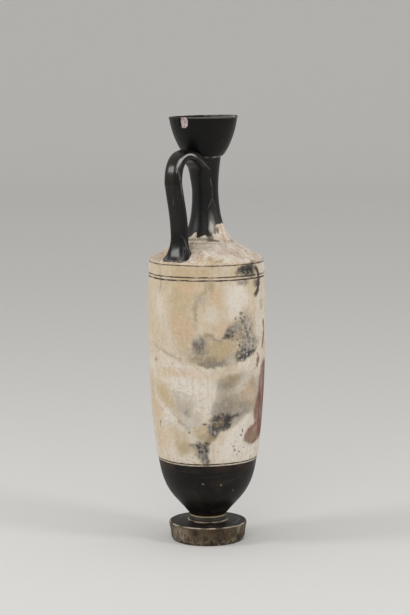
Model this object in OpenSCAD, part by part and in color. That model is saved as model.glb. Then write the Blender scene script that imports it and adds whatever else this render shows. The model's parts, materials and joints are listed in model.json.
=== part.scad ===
// Lekythos: a tall white-ground oil jug, thrown in sections and luted together.
// The wheel axis is Z, the resting ring lies on Z = 0 and the handle stands on the -X side.
// Profiles are lists of [radius, height], all in millimetres.

/* [Foot] */
// Radius of the disc foot at its upper edge
foot_edge_r = 30.3; // [27:0.1:36]
// Radius of the disc foot where it meets the ground
foot_rest_r = 26.2; // [24:0.1:27]
// Height of the upper edge of the foot
foot_edge_h = 14.8; // [12:0.1:20]
// How far the top of the foot climbs from its edge to the stem
foot_rise = 0.9; // [0.3:0.1:3]
// Inner radius of the resting ring
foot_hollow_r = 20; // [15:0.1:22]
// Depth of the hollow under the foot
foot_hollow_d = 4.5; // [1:0.1:7]
// Width of the small bevel round the upper edge of the foot
foot_arris = 0.8; // [0.2:0.1:2]

/* [Joint of foot and bowl] */
// Radius of the solid stem under the bowl
stem_r = 11.5; // [9:0.1:12]
// Radius of the clay ring round the stem
fillet_r = 14.9; // [14.2:0.1:17]
// Height of the clay ring
fillet_h = 4.1; // [3:0.1:6]
// Thickness of the slurry between two joined sections
lute_t = 0.5; // [0.3:0.1:1]
// How far the slurry is squeezed out round the ends of the handle
lute_bead = 0.3; // [0.1:0.1:0.6]

/* [Body] */
// Radius of the bowl just above the clay ring
bowl_foot_r = 13.6; // [12.6:0.1:14.5]
// Height where the black bowl meets the white wall
band_z = 65.3; // [60:0.1:75]
// Radius of the body at that height
band_r = 38.4; // [36:0.1:40]
// Height of the widest girth
girth_z = 180; // [150:1:195]
// Radius of the widest girth
girth_r = 45.7; // [43:0.1:49]
// Height of the upper end of the wall
wall_top_z = 217.6; // [212:0.1:219]
// Radius at the upper end of the wall
wall_top_r = 44.5; // [42:0.1:45.4]
// Radius of the rounded edge between wall and shoulder
shoulder_edge_round = 3.2; // [2:0.1:4]
// Thickness of the thrown wall
wall_t = 4.6; // [3:0.1:6]

/* [Shoulder] */
// Radius where the neck sits on the shoulder
neck_seat_r = 20.5; // [18:0.1:23]
// How far the shoulder rises from the top of the wall to that seat
shoulder_rise = 17.6; // [15:0.1:21]
// Radius of the hole through the shoulder under the neck
shoulder_hole_r = 8; // [6.5:0.1:10]

/* [White coat] */
// Thickness of the white clay coat
coat_t = 0.3; // [0.2:0.05:0.6]

/* [Neck] */
// Outer radius of the neck at its waist
neck_waist_r = 10.2; // [9.2:0.1:11.4]
// Height of the waist above the shoulder's seat
neck_waist_h = 38.5; // [34:0.1:44]
// Outer radius at the top of the neck
neck_top_r = 12.6; // [11:0.1:13]
// Length of the neck with the slurry under it
neck_h = 63.6; // [58:0.1:70]
// Radius of the straight bore
bore_r = 5.5; // [4:0.1:6.5]
// Lean of the neck and mouth out of the wheel axis, in degrees
neck_lean = 1.2; // [0:0.1:2]
// Direction of the lean, in degrees from +X
lean_dir = 127; // [0:1:359]

/* [Mouth] */
// Outer radius at the bottom of the mouth
mouth_base_r = 13.4; // [13.1:0.1:14.5]
// Outer radius of the lip
mouth_lip_r = 26.6; // [24:0.1:29]
// Height of the mouth
mouth_h = 31.4; // [27:0.1:34]
// Width of the flat lip
lip_w = 3.4; // [2.5:0.1:5]
// Thickness of the floor of the mouth round the throat
mouth_floor_t = 5; // [4:0.1:7]
// How much wider the throat is than the bore, all round
throat_clear = 0.6; // [0.3:0.1:1.5]

/* [Handle] */
// Width of the strap
strap_w = 14; // [9:0.1:15]
// Thickness of the strap
strap_t = 8.2; // [5:0.1:9]
// How far the strap's upright part stands inside the upper end of the wall
strap_inset = 3.3; // [3:0.1:7]
// How far the strap draws in again on its way down
strap_draw = 7.3; // [3:0.1:8]
// Height of the strap's crown above the joint of neck and mouth, at mid-thickness
crown_rise = 2.7; // [1:0.1:4]
// Distance of the crown from the wheel axis
crown_reach = 25.5; // [24.5:0.1:27]
// Width of the strap's end where it wraps the neck
neck_end_w = 21; // [15:0.1:23]
// Width of the strap's root on the shoulder
root_w = 27.6; // [18:0.1:29]
// Thickness of the strap's root on the shoulder
root_t = 13; // [9:0.1:15]

/* [Hidden] */
$fn = 96;

gloss = [0.09, 0.085, 0.08];
reserved_clay = [0.42, 0.32, 0.22];
white_clay = [0.80, 0.73, 0.62];
slurry = [0.50, 0.38, 0.28];

// Heights that follow from the sizes above
foot_seat_z = foot_edge_h + foot_rise;
foot_flare = foot_edge_r - foot_rest_r;
foot_top_w = foot_edge_r - fillet_r;
stem_z = foot_seat_z + lute_t;
bowl_z = foot_seat_z + fillet_h;
neck_seat_z = wall_top_z + shoulder_rise;
neck_z = neck_seat_z + lute_t;
neck_end_z = neck_seat_z + neck_h;
mouth_z = neck_end_z + lute_t;
mouth_top_z = mouth_z + mouth_h;
throat_r = bore_r + throat_clear;

// Points on a cubic curve from p0 to p3, whose ends aim at p1 and p2; the first point is left out
function curve(p0, p1, p2, p3, n) =
    [for (i = [1:n]) let (t = i / n, s = 1 - t)
        s*s*s*p0 + 3*s*s*t*p1 + 3*s*t*t*p2 + t*t*t*p3];

// An open profile moved by d to the left of its direction of travel
function moved(path, d) =
    [for (i = [0:len(path) - 1])
        let (a = path[max(i - 1, 0)], b = path[min(i + 1, len(path) - 1)],
             along = (b - a) / norm(b - a))
        path[i] + d * [-along[1], along[0]]];

// The part of a profile between two heights
function between(path, low, high) = [for (p = path) if (p[1] >= low && p[1] <= high) p];

function reversed(path) = [for (i = [len(path) - 1:-1:0]) path[i]];

// Outline of the bowl and wall, from the clay ring up to the edge of the shoulder
wall_steps = 14;
bowl_w = band_r - bowl_foot_r;
bowl_h = band_z - bowl_z;
wall_w = girth_r - band_r;
wall_h = girth_z - band_z;
upper_w = girth_r - wall_top_r;
upper_h = wall_top_z - girth_z;
bowl_profile = concat([[bowl_foot_r, bowl_z]],
    curve([bowl_foot_r, bowl_z], [bowl_foot_r + 0.457 * bowl_w, bowl_z + 0.333 * bowl_h],
          [band_r - 0.159 * bowl_w, band_z - 0.621 * bowl_h], [band_r, band_z], wall_steps));
wall_profile = concat(
    curve([band_r, band_z], [band_r + 0.493 * wall_w, band_z + 0.131 * wall_h],
          [girth_r, girth_z - 0.436 * wall_h], [girth_r, girth_z], wall_steps),
    curve([girth_r, girth_z], [girth_r, girth_z + 0.346 * upper_h],
          [wall_top_r + 0.33 * upper_w, wall_top_z - 0.346 * upper_h],
          [wall_top_r, wall_top_z], 6));

// Outline of the shoulder, from its rounded edge to just past the seat of the neck
edge_end = [wall_top_r - 0.62 * shoulder_edge_round, wall_top_z + 1.5 * shoulder_edge_round];
shoulder_w = edge_end[0] - neck_seat_r;
shoulder_h = neck_seat_z - edge_end[1];
seat_lap = 0.146 * neck_seat_r;
shoulder_profile = concat(
    curve([wall_top_r, wall_top_z], [wall_top_r - 0.1, wall_top_z + 0.8 * shoulder_edge_round],
          edge_end + [0.5 * shoulder_edge_round, -0.27 * shoulder_edge_round], edge_end, 6),
    curve(edge_end, edge_end + [-0.318 * shoulder_w, 0.297 * shoulder_h],
          [neck_seat_r + 0.273 * shoulder_w, neck_seat_z - 0.227 * shoulder_h],
          [neck_seat_r, neck_seat_z], 8),
    curve([neck_seat_r, neck_seat_z], [neck_seat_r - 0.34 * seat_lap, neck_seat_z + 0.2 * seat_lap],
          [neck_seat_r - 0.67 * seat_lap, neck_seat_z + 0.47 * seat_lap],
          [neck_seat_r - seat_lap, neck_seat_z + 0.8 * seat_lap], 3));
outer_profile = concat(bowl_profile, wall_profile, shoulder_profile);

// The coat lies on wall and shoulder, the thrown clay under the coat, and the hollow under the clay
coat_profile = concat([[band_r, band_z]], wall_profile, shoulder_profile);
coat_underside = moved(coat_profile, coat_t);
clay_profile = concat(bowl_profile, coat_underside);
hollow_profile = between(moved(outer_profile, wall_t), 0, neck_seat_z - wall_t);

// The neck and mouth stand on a seat that leans a little, like hand-joined work
module leaning() {
    translate([0, 0, neck_seat_z])
        rotate(a = neck_lean, v = [-sin(lean_dir), cos(lean_dir), 0])
            translate([0, 0, -neck_seat_z])
                children();
}

// Everything above the leaning seat
module above_seat() {
    leaning()
        translate([0, 0, neck_seat_z])
            cylinder(r = 1.4 * neck_seat_r, h = neck_seat_r);
}

module foot() {
    color(reserved_clay)
        rotate_extrude()
            polygon(concat(
                [[0, foot_hollow_d], [0.3 * foot_hollow_r, foot_hollow_d],
                 [0.9 * foot_hollow_r, 0.27 * foot_hollow_d], [foot_hollow_r, 0], [foot_rest_r, 0]],
                curve([foot_rest_r, 0], [foot_rest_r + 0.4 * foot_flare, 0],
                      [foot_edge_r - 0.35 * foot_flare, 0.16 * foot_edge_h],
                      [foot_edge_r - 0.3 * foot_flare, 0.44 * foot_edge_h], 6),
                curve([foot_edge_r - 0.3 * foot_flare, 0.44 * foot_edge_h],
                      [foot_edge_r - 0.15 * foot_flare, 0.68 * foot_edge_h],
                      [foot_edge_r, 0.86 * foot_edge_h], [foot_edge_r, foot_edge_h - foot_arris], 4),
                [[foot_edge_r - foot_arris, foot_edge_h]],
                curve([foot_edge_r - foot_arris, foot_edge_h],
                      [foot_edge_r - 0.35 * foot_top_w, foot_edge_h - 0.1 * foot_rise],
                      [fillet_r + 0.27 * foot_top_w, foot_seat_z - 0.6 * foot_rise],
                      [fillet_r, foot_seat_z], 6),
                [[0, foot_seat_z]]));
}

module foot_lute() {
    color(slurry)
        translate([0, 0, foot_seat_z])
            cylinder(r = stem_r, h = lute_t);
}

// The ring rests on the foot and closes round the stem
module fillet_ring() {
    color(gloss)
        rotate_extrude()
            polygon(concat(
                [[stem_r, foot_seat_z], [fillet_r - 0.12 * fillet_h, foot_seat_z]],
                curve([fillet_r - 0.12 * fillet_h, foot_seat_z],
                      [fillet_r + 0.07 * fillet_h, foot_seat_z + 0.12 * fillet_h],
                      [fillet_r + 0.02 * fillet_h, foot_seat_z + 0.51 * fillet_h],
                      [fillet_r - 0.15 * fillet_h, foot_seat_z + 0.68 * fillet_h], 6),
                [[bowl_foot_r - 0.1 * fillet_h, bowl_z], [stem_r, bowl_z]]));
}

module body() {
    color(gloss)
        difference() {
            rotate_extrude()
                polygon(concat(
                    [[0, stem_z], [stem_r, stem_z], [stem_r, bowl_z]],
                    clay_profile,
                    [[shoulder_hole_r, clay_profile[len(clay_profile) - 1][1]],
                     [shoulder_hole_r, hollow_profile[len(hollow_profile) - 1][1]]],
                    reversed(hollow_profile),
                    [[0, hollow_profile[0][1]]]));
            above_seat();
        }
}

module white_ground() {
    color(white_clay)
        difference() {
            rotate_extrude()
                polygon(concat(coat_profile, reversed(coat_underside)));
            above_seat();
        }
}

module neck_lute() {
    color(slurry)
        leaning()
            translate([0, 0, neck_seat_z])
                difference() {
                    cylinder(r = neck_seat_r, h = lute_t);
                    translate([0, 0, -1]) cylinder(r = shoulder_hole_r, h = lute_t + 2);
                }
}

// Outline of the neck, from its trumpet-shaped base to the joint with the mouth
waist_z = neck_seat_z + neck_waist_h;
flare_w = neck_seat_r - neck_waist_r;
flare_h = waist_z - neck_z;
upper_neck_w = neck_top_r - neck_waist_r;
upper_neck_h = neck_end_z - waist_z;
neck_profile = concat([[neck_seat_r, neck_z]],
    curve([neck_seat_r, neck_z], [neck_seat_r - 0.505 * flare_w, neck_z + 0.116 * flare_h],
          [neck_waist_r + 0.02 * flare_w, waist_z - 0.63 * flare_h], [neck_waist_r, waist_z], 14),
    curve([neck_waist_r, waist_z], [neck_waist_r, waist_z + 0.36 * upper_neck_h],
          [neck_top_r - 0.4 * upper_neck_w, neck_end_z - 0.28 * upper_neck_h],
          [neck_top_r, neck_end_z], 8));

module neck() {
    color(gloss)
        leaning()
            difference() {
                rotate_extrude()
                    polygon(concat([[0, neck_z]], neck_profile, [[0, neck_end_z]]));
                translate([0, 0, neck_z - 1])
                    cylinder(r = bore_r, h = neck_end_z - neck_z + 2);
            }
}

module mouth_lute() {
    color(slurry)
        leaning()
            translate([0, 0, neck_end_z])
                difference() {
                    cylinder(r = neck_top_r, h = lute_t);
                    translate([0, 0, -1]) cylinder(r = throat_r, h = lute_t + 2);
                }
}

// Outline of the mouth: a bell that opens upward to a flat lip
bell_w = mouth_lip_r - mouth_base_r;
bell_start = [mouth_base_r, mouth_z + 0.02 * mouth_h];
bell_end = [mouth_lip_r - 0.05 * bell_w, mouth_top_z - 0.07 * mouth_h];
mouth_profile = concat([[mouth_base_r - 0.04 * bell_w, mouth_z], bell_start],
    curve(bell_start, bell_start + [0.238 * bell_w, 0.017 * mouth_h],
          [mouth_lip_r - 0.17 * bell_w, mouth_top_z - 0.475 * mouth_h], bell_end, 12),
    [[mouth_lip_r, mouth_top_z - 0.2 * lip_w], [mouth_lip_r - 0.15 * lip_w, mouth_top_z]]);
lip_inner_r = mouth_lip_r - lip_w;
cup_floor_z = mouth_z + mouth_floor_t;
cup_profile = concat([[lip_inner_r, mouth_top_z]],
    curve([lip_inner_r, mouth_top_z], [lip_inner_r - 0.13 * bell_w, mouth_top_z - 0.47 * mouth_h],
          [throat_r + 0.51 * bell_w, cup_floor_z + 0.03 * mouth_h],
          [throat_r + 0.06 * bell_w, cup_floor_z - 0.16 * mouth_floor_t], 12),
    [[throat_r, cup_floor_z - 0.36 * mouth_floor_t], [throat_r, mouth_z]]);

module mouth() {
    color(gloss)
        leaning()
            rotate_extrude()
                polygon(concat(mouth_profile, cup_profile));
}

// The strap's middle line in its own plane, as [distance from the axis, height, width, thickness]
crown_z = mouth_z + crown_rise;
strap_reach = wall_top_r - strap_inset;
root_reach = wall_top_r - root_t / 2 - 0.38 * shoulder_edge_round;
root_z = edge_end[1] - 2.5 * shoulder_edge_round;
drop = crown_z - root_z;
lower_reach = strap_reach - strap_draw;
neck_end = [0.87 * neck_waist_r, crown_z - 0.205 * drop, 0.76 * neck_end_w, 0.93 * strap_t];
crown = [crown_reach, crown_z, strap_w, strap_t];
bend_end = [strap_reach, crown_z - 0.233 * drop, strap_w, strap_t];
lower_end = [lower_reach, crown_z - 0.717 * drop, strap_w, strap_t];
root_end = [root_reach, root_z, root_w, root_t];
strap_run = concat([neck_end],
    curve(neck_end, [neck_waist_r, crown_z - 0.103 * drop, 0.97 * neck_end_w, 1.05 * strap_t],
          [0.66 * crown_reach, crown_z, 0.92 * strap_w, strap_t], crown, 12),
    curve(crown, [crown_reach + 0.7 * (strap_reach - crown_reach), crown_z, strap_w, strap_t],
          [strap_reach, crown_z - 0.103 * drop, strap_w, strap_t], bend_end, 10),
    curve(bend_end, [strap_reach, crown_z - 0.28 * drop, strap_w, strap_t],
          [lower_reach, crown_z - 0.506 * drop, strap_w, strap_t], lower_end, 12),
    curve(lower_end, [lower_reach, crown_z - 0.797 * drop, strap_w, strap_t],
          [0.973 * root_reach, root_z + 0.125 * drop, 0.69 * root_w, 0.86 * root_t], root_end, 8));

// A rounded rectangle as a list of points: half-axes a and b, squareness in the exponent
section_sides = 20;
squareness = 0.62;
function rounded(a, b) =
    [for (i = [0:section_sides - 1]) let (t = 360 * i / section_sides)
        [a * sign(cos(t)) * pow(abs(cos(t)), squareness),
         b * sign(sin(t)) * pow(abs(sin(t)), squareness)]];

// The strap swept along its run, each end inside the wall it is pressed on; grow thickens it all round
module strap(grow = 0) {
    n = len(strap_run);
    points = [for (i = [0:n - 1])
        let (p = strap_run[i], a = strap_run[max(i - 1, 0)], b = strap_run[min(i + 1, n - 1)],
             run = [b[0] - a[0], b[1] - a[1]] / norm([b[0] - a[0], b[1] - a[1]]),
             out = [-run[1], run[0]])
        for (q = rounded(p[2] / 2 + grow, p[3] / 2 + grow))
            [-(p[0] + q[1] * out[0]), q[0], p[1] + q[1] * out[1]]];
    m = section_sides;
    faces = concat(
        [[for (j = [0:m - 1]) j]],
        [[for (j = [m - 1:-1:0]) (n - 1) * m + j]],
        [for (i = [0:n - 2], j = [0:m - 1])
            [i * m + j, (i + 1) * m + j, (i + 1) * m + (j + 1) % m]],
        [for (i = [0:n - 2], j = [0:m - 1])
            [i * m + j, (i + 1) * m + (j + 1) % m, i * m + (j + 1) % m]]);
    polyhedron(points = points, faces = faces, convexity = 6);
}

// The neck and mouth, and what lies within extra of them, as one filled solid
module top_envelope(extra) {
    side = concat(between(neck_profile, waist_z - 0.3 * flare_h, neck_end_z),
                  between(mouth_profile, 0, mouth_z + 0.45 * mouth_h));
    leaning()
        rotate_extrude()
            polygon(concat([[0, side[0][1]]], moved(side, -extra), [[0, side[len(side) - 1][1]]]));
}

// The shoulder, and what lies within extra of it, as one filled solid
module shoulder_envelope(extra) {
    rotate_extrude()
        polygon(concat([[0, wall_top_z - root_t], [wall_top_r + extra, wall_top_z - root_t]],
            moved(shoulder_profile, -extra),
            [[0, shoulder_profile[len(shoulder_profile) - 1][1] + extra]]));
}

module handle() {
    color(gloss)
        difference() {
            strap();
            top_envelope(lute_t);
            shoulder_envelope(lute_t);
        }
}

module handle_upper_lute() {
    color(slurry)
        intersection() {
            strap(lute_bead);
            difference() {
                top_envelope(lute_t);
                top_envelope(0);
            }
        }
}

module handle_lower_lute() {
    color(slurry)
        intersection() {
            strap(lute_bead);
            difference() {
                shoulder_envelope(lute_t);
                shoulder_envelope(0);
            }
        }
}

foot();
foot_lute();
fillet_ring();
body();
white_ground();
neck_lute();
neck();
mouth_lute();
mouth();
handle();
handle_upper_lute();
handle_lower_lute();
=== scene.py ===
"""Dresses the lekythos: turned clay pieces with their wobble, chips and cracks, a pulled strap handle,
worn black gloss, a stained white coat and encrusted bare clay, on a plain pale studio floor."""

import functools
import json
import math
from typing import NamedTuple

import bpy
import numpy as np
from bpy.props import FloatProperty, FloatVectorProperty, PointerProperty
from bpy.types import Operator, Panel, PropertyGroup
from mathutils import Matrix, Vector


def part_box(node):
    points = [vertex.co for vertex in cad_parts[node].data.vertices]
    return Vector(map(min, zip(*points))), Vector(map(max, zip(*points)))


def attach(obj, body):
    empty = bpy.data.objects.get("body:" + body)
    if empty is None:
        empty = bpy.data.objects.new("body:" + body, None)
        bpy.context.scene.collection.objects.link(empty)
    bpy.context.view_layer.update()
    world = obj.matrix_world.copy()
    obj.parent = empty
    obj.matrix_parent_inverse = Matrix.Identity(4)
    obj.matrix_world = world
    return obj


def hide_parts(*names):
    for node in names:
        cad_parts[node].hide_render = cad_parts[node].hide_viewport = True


bl_info = {
    "name": "Lekythos dresser",
    "version": (1, 0, 0),
    "blender": (4, 5, 0),
    "location": "3D View > Sidebar > Lekythos",
    "description": "Turns the clay pieces of a white-ground oil jug and gives them their finish",
    "category": "Object",
}

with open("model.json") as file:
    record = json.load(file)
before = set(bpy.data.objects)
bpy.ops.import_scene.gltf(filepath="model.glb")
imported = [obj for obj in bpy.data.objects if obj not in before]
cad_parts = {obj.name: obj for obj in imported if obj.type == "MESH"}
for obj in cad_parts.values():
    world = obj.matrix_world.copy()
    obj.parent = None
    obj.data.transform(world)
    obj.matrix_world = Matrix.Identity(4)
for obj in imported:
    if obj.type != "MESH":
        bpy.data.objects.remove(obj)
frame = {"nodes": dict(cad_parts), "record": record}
MM = 0.001

# Sizes read from the frame

NECK_BORE = next(mount for mount in frame["record"]["mounts"] if mount["name"] == "neck_bore")


def bore_axis():
    """The leaning axis of neck and mouth as a matrix: Z runs up the bore, heights are the jug's own."""
    point, along = Vector(NECK_BORE["pos_m"]), Vector(NECK_BORE["axis"]).normalized()
    flat = along.xy.length_squared
    pivot = point - along * (point.xy.dot(along.xy) / flat if flat > 1e-9 else 0)
    seat = Vector((0, 0, pivot.z))
    turn = Vector((0, 0, 1)).rotation_difference(along).to_matrix().to_4x4()
    return Matrix.Translation(seat) @ turn @ Matrix.Translation(-seat), pivot.z


UPRIGHT = Matrix.Identity(4)
LEANING, SEAT_Z = bore_axis()


def reach(node, axis=UPRIGHT):
    """(largest radius, lowest height, highest height) of a CAD node about an axis."""
    undo = axis.inverted()
    points = np.array([undo @ v.co for v in frame["nodes"][node].data.vertices])
    radii, heights = np.hypot(points[:, 0], points[:, 1]), points[:, 2]
    return float(radii.max()), float(heights.min()), float(heights.max())


FOOT_R, _, FOOT_TOP_Z = reach("foot")
FILLET_R, FILLET_Z, BOWL_Z = reach("fillet_ring")
STEM_R, _, _ = reach("foot_lute")
GIRTH_R, BAND_Z, _ = reach("white_ground")
NECK_BASE_R, NECK_Z, NECK_END_Z = reach("neck", LEANING)
NECK_TOP_R, _, MOUTH_Z = reach("mouth_lute", LEANING)
LIP_R, _, LIP_Z = reach("mouth", LEANING)
BORE_R = NECK_BORE["dims"]["r_mm"] * MM

# Where marks are measured from: the side that faces the camera, from +X, and the radius of each sheet
VIEW_ANGLE = math.radians(217)
WALL_R, BOWL_R, NECK_R, FOOT_SIDE_R = 45 * MM, 35 * MM, 11 * MM, 29 * MM


def size(name, description, default, low=0.0, high=1.0):
    """A length that a user may change."""
    return FloatProperty(
        name=name, description=description, default=default, min=low, max=high, unit="LENGTH", precision=5
    )


def seen(*levels):
    """A colour in linear light, from its red, green and blue as a screen shows them, 0 to 255."""
    shares = (level / 255 for level in levels)
    return tuple(k / 12.92 if k < 0.04045 else ((k + 0.055) / 1.055) ** 2.4 for k in shares)


def tint(name, description, *levels):
    """A colour that a user may change."""
    return FloatVectorProperty(
        name=name, description=description, default=seen(*levels), size=3, min=0.0, max=1.0, subtype="COLOR"
    )


class ShapeSettings(PropertyGroup):
    """Sizes of the thrown pieces that their boxes in the frame don't give."""

    foot_rest_r: size("Resting radius", "Outer radius of the ring the foot stands on", 26.2 * MM)
    foot_hollow_r: size("Hollow radius", "Inner radius of the resting ring", 20 * MM)
    foot_hollow_d: size("Hollow depth", "Depth of the hollow under the foot", 4.5 * MM)
    foot_rise: size("Foot rise", "How far the top of the foot climbs to the stem", 0.9 * MM)
    foot_arris: size("Foot bevel", "Width of the bevel round the foot's upper edge", 0.8 * MM)
    bowl_foot_r: size("Bowl foot", "Radius of the bowl just above the clay ring", 13.6 * MM)
    band_r: size("Band radius", "Radius where the black bowl meets the white wall", 38.4 * MM)
    girth_z: size("Girth height", "Height of the widest girth", 180 * MM)
    wall_top_z: size("Wall top", "Height of the upper end of the wall", 217.6 * MM)
    wall_top_r: size("Wall top radius", "Radius at the upper end of the wall", 44.5 * MM)
    edge_round: size("Shoulder edge", "Size of the rounding between wall and shoulder", 3.2 * MM)
    wall_t: size("Wall thickness", "Thickness of the thrown wall", 4.6 * MM)
    coat_t: size("Coat thickness", "Thickness of the white clay coat", 0.3 * MM)
    hole_r: size("Shoulder hole", "Radius of the hole under the neck", 8 * MM)
    waist_r: size("Neck waist", "Outer radius of the neck at its waist", 10.2 * MM)
    waist_h: size("Waist height", "Height of the waist above the seat", 38.5 * MM)
    mouth_base_r: size("Mouth base", "Outer radius at the bottom of the mouth", 13.4 * MM)
    lip_w: size("Lip width", "Width of the flat lip", 3.4 * MM)
    mouth_floor_t: size("Mouth floor", "Thickness of the mouth's floor round the throat", 5 * MM)
    throat_clear: size("Throat", "How much wider the throat is than the bore", 0.6 * MM)


class HandleSettings(PropertyGroup):
    """Sizes of the pulled strap."""

    strap_w: size("Strap width", "Width of the strap", 14 * MM)
    strap_t: size("Strap thickness", "Thickness of the strap", 8.2 * MM)
    inset: size("Inset", "How far the upright part stands inside the wall's upper end", 3.3 * MM)
    draw: size("Draw", "How far the strap draws in on its way down", 7.3 * MM)
    crown_rise: size("Crown rise", "Height of the crown above the mouth's joint", 2.7 * MM)
    crown_reach: size("Crown reach", "Distance of the crown from the wheel axis", 25.5 * MM)
    neck_end_w: size("Neck end", "Width of the end that wraps the neck", 21 * MM)
    root_w: size("Root width", "Width of the root on the shoulder", 27.6 * MM)
    root_t: size("Root thickness", "Thickness of the root on the shoulder", 13 * MM)
    channel: size("Channel", "Depth of the channel along the outer face", 0.5 * MM)
    swell: size("Root fillet", "How far the clay is smeared out round both ends", 1.5 * MM)


class WearSettings(PropertyGroup):
    """How far hand work and age have moved the surface."""

    wobble: size("Wobble", "How far the thrown walls stray from a true circle", 0.22 * MM)
    ridges: size("Throwing ridges", "Height of the ridges that fingers leave", 0.035 * MM)
    chip_d: size("Chip depth", "Depth of the chip under the lip", 0.9 * MM)
    crack_d: size("Crack depth", "Depth of the cracks in the neck", 0.18 * MM)
    crust: size("Crust", "Height of the mineral crust on the foot", 0.22 * MM)
    foot_chips: size("Foot chips", "Depth of the chips along the foot's edges", 0.35 * MM)
    lip_nicks: size("Lip nicks", "Depth of the small nicks in the lip", 0.3 * MM)


class FinishSettings(PropertyGroup):
    """Colours of the fired clay, the coats and what time left on them."""

    gloss: tint("Black gloss", "The black gloss where it is thick", 16, 15, 15)
    thin_gloss: tint("Thin gloss", "The gloss where it is thin or misfired", 46, 38, 31)
    # Worn gloss also paints the highlight streaks along the strap's ridge and on the mouth's seam.
    worn_gloss: tint("Worn gloss", "Rubbed gloss with a grey metallic bloom", 112, 107, 102)
    # Silver also paints the highlight arc over the strap's crown and the highlight along the mouth's lower
    # edge.
    silver: tint("Silver bloom", "Pale grey metallic bloom on the gloss", 196, 194, 190)
    cream: tint("Cream", "The white coat where it is clean", 210, 195, 171)
    chalk: tint("Chalk", "The white coat where it is palest", 226, 218, 206)
    ochre: tint("Ochre", "Yellow-brown stain in the coat", 194, 171, 132)
    peach: tint("Peach", "Pink bloom in the coat", 211, 180, 149)
    smoke: tint("Smoke", "Grey stain in the coat", 122, 118, 112)
    soot: tint("Soot", "Near-black stain in the coat", 44, 42, 41)
    ash: tint("Ash", "Pale lavender grey stain in the coat", 176, 168, 157)
    umber: tint("Umber", "Olive brown stain in the coat", 146, 128, 98)
    brown: tint("Brown line", "Thinned slip of the painted lines", 50, 36, 26)
    red: tint("Matte red", "Earth red of the faded cloth", 122, 76, 64)
    pink: tint("Worn red", "The red where it has rubbed thin", 176, 142, 128)
    bare: tint("Bare clay", "Fired clay without a coat", 78, 68, 49)
    rust: tint("Rusty clay", "Bare clay where it fired redder", 72, 50, 35)
    # Crust also paints the highlight arc across the foot's black top.
    crust: tint("Crust", "Pale lime crust on bare clay", 164, 152, 132)
    chip_dark: tint("Dark of the chip", "The raw clay of the chip where it is darker", 158, 141, 136)
    chip_pale: tint("Pale of the chip", "The raw clay of the chip where it is palest", 206, 190, 185)


class StageSettings(PropertyGroup):
    """The floor, the lamps and the camera."""

    floor: tint("Floor", "Colour of the floor and backdrop", 228, 227, 225)
    camera_reach: size("Camera distance", "Level distance from camera to wheel axis", 1.5379, 0.1, 10)
    camera_height: size("Camera height", "Height of the camera above the ground", 0.3808, 0, 10)
    camera_aside: size("Camera aside", "How far the camera stands left of the axis", 1.4 * MM)
    key_power: FloatProperty(
        name="Key power", description="Power that each lamp has its share of", default=4.2, unit="POWER"
    )


# Outlines, as (radius, height)


def bend(start, first, second, end, steps=40):
    """Points on a cubic curve, without its start."""
    t = np.linspace(0, 1, steps + 1)[1:, None]
    p = [np.asarray(q, float) for q in (start, first, second, end)]
    return (1 - t) ** 3 * p[0] + 3 * (1 - t) ** 2 * t * p[1] + 3 * (1 - t) * t**2 * p[2] + t**3 * p[3]


def even(path, step):
    """The path again, with points about step apart."""
    path = np.asarray(path, float)
    along = np.concatenate([[0], np.cumsum(np.linalg.norm(np.diff(path, axis=0), axis=1))])
    marks = np.linspace(0, along[-1], max(2, round(along[-1] / step) + 1))
    return np.stack([np.interp(marks, along, path[:, k]) for k in range(path.shape[1])], axis=1)


def moved(path, distance):
    """The path moved to the left of its direction of travel."""
    path = np.asarray(path, float)
    along = np.gradient(path, axis=0)
    along /= np.linalg.norm(along, axis=1)[:, None]
    return path + distance * np.stack([-along[:, 1], along[:, 0]], axis=1)


def join(*paths):
    """The paths one after another, each a list of points or one point."""
    return np.concatenate([np.atleast_2d(np.asarray(p, float)) for p in paths])


def foot_outline(s):
    """The foot's section, from the hollow under it round the side to the stem."""
    edge_z = FOOT_TOP_Z - s.foot_rise
    flare, top_w = FOOT_R - s.foot_rest_r, FOOT_R - FILLET_R
    low = np.array([s.foot_rest_r, 0])
    mid = np.array([FOOT_R - 0.3 * flare, 0.44 * edge_z])
    high = np.array([FOOT_R, edge_z - s.foot_arris])
    arris = np.array([FOOT_R - s.foot_arris, edge_z])
    stem = (FILLET_R, FOOT_TOP_Z)
    return join(
        [[0, s.foot_hollow_d], [0.3 * s.foot_hollow_r, s.foot_hollow_d]],
        [[0.9 * s.foot_hollow_r, 0.27 * s.foot_hollow_d], [s.foot_hollow_r, 0]],
        low,
        bend(low, low + (0.4 * flare, 0), (FOOT_R - 0.35 * flare, 0.16 * edge_z), mid),
        bend(mid, (FOOT_R - 0.15 * flare, 0.68 * edge_z), high - (0, 0.14 * edge_z - s.foot_arris), high),
        arris,
        bend(arris, arris - (0.35 * top_w - s.foot_arris, 0.1 * s.foot_rise),
             (FILLET_R + 0.27 * top_w, FOOT_TOP_Z - 0.6 * s.foot_rise), stem),
        [0, FOOT_TOP_Z],
    )


def ring_outline(s):
    """The clay ring's section, sunk a little into the stem."""
    inner_r, h = STEM_R - 0.3 * MM, BOWL_Z - FILLET_Z
    start = np.array([FILLET_R - 0.1 * h, FILLET_Z])
    bulge = start + h * np.array([[0, 0], [0.16, 0.12], [0.12, 0.51], [-0.05, 0.68]])
    return join(
        [inner_r, FILLET_Z],
        start,
        bend(*bulge, 20),
        [s.bowl_foot_r - 0.1 * h, BOWL_Z],
        [inner_r, BOWL_Z],
    )


def bowl_side(s):
    """The bowl, from the clay ring up to the white wall."""
    start, end = np.array([s.bowl_foot_r, BOWL_Z]), np.array([s.band_r, BAND_Z])
    w, h = end - start
    return join(start, bend(start, start + (0.457 * w, 0.333 * h), end - (0.159 * w, 0.621 * h), end))


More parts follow.
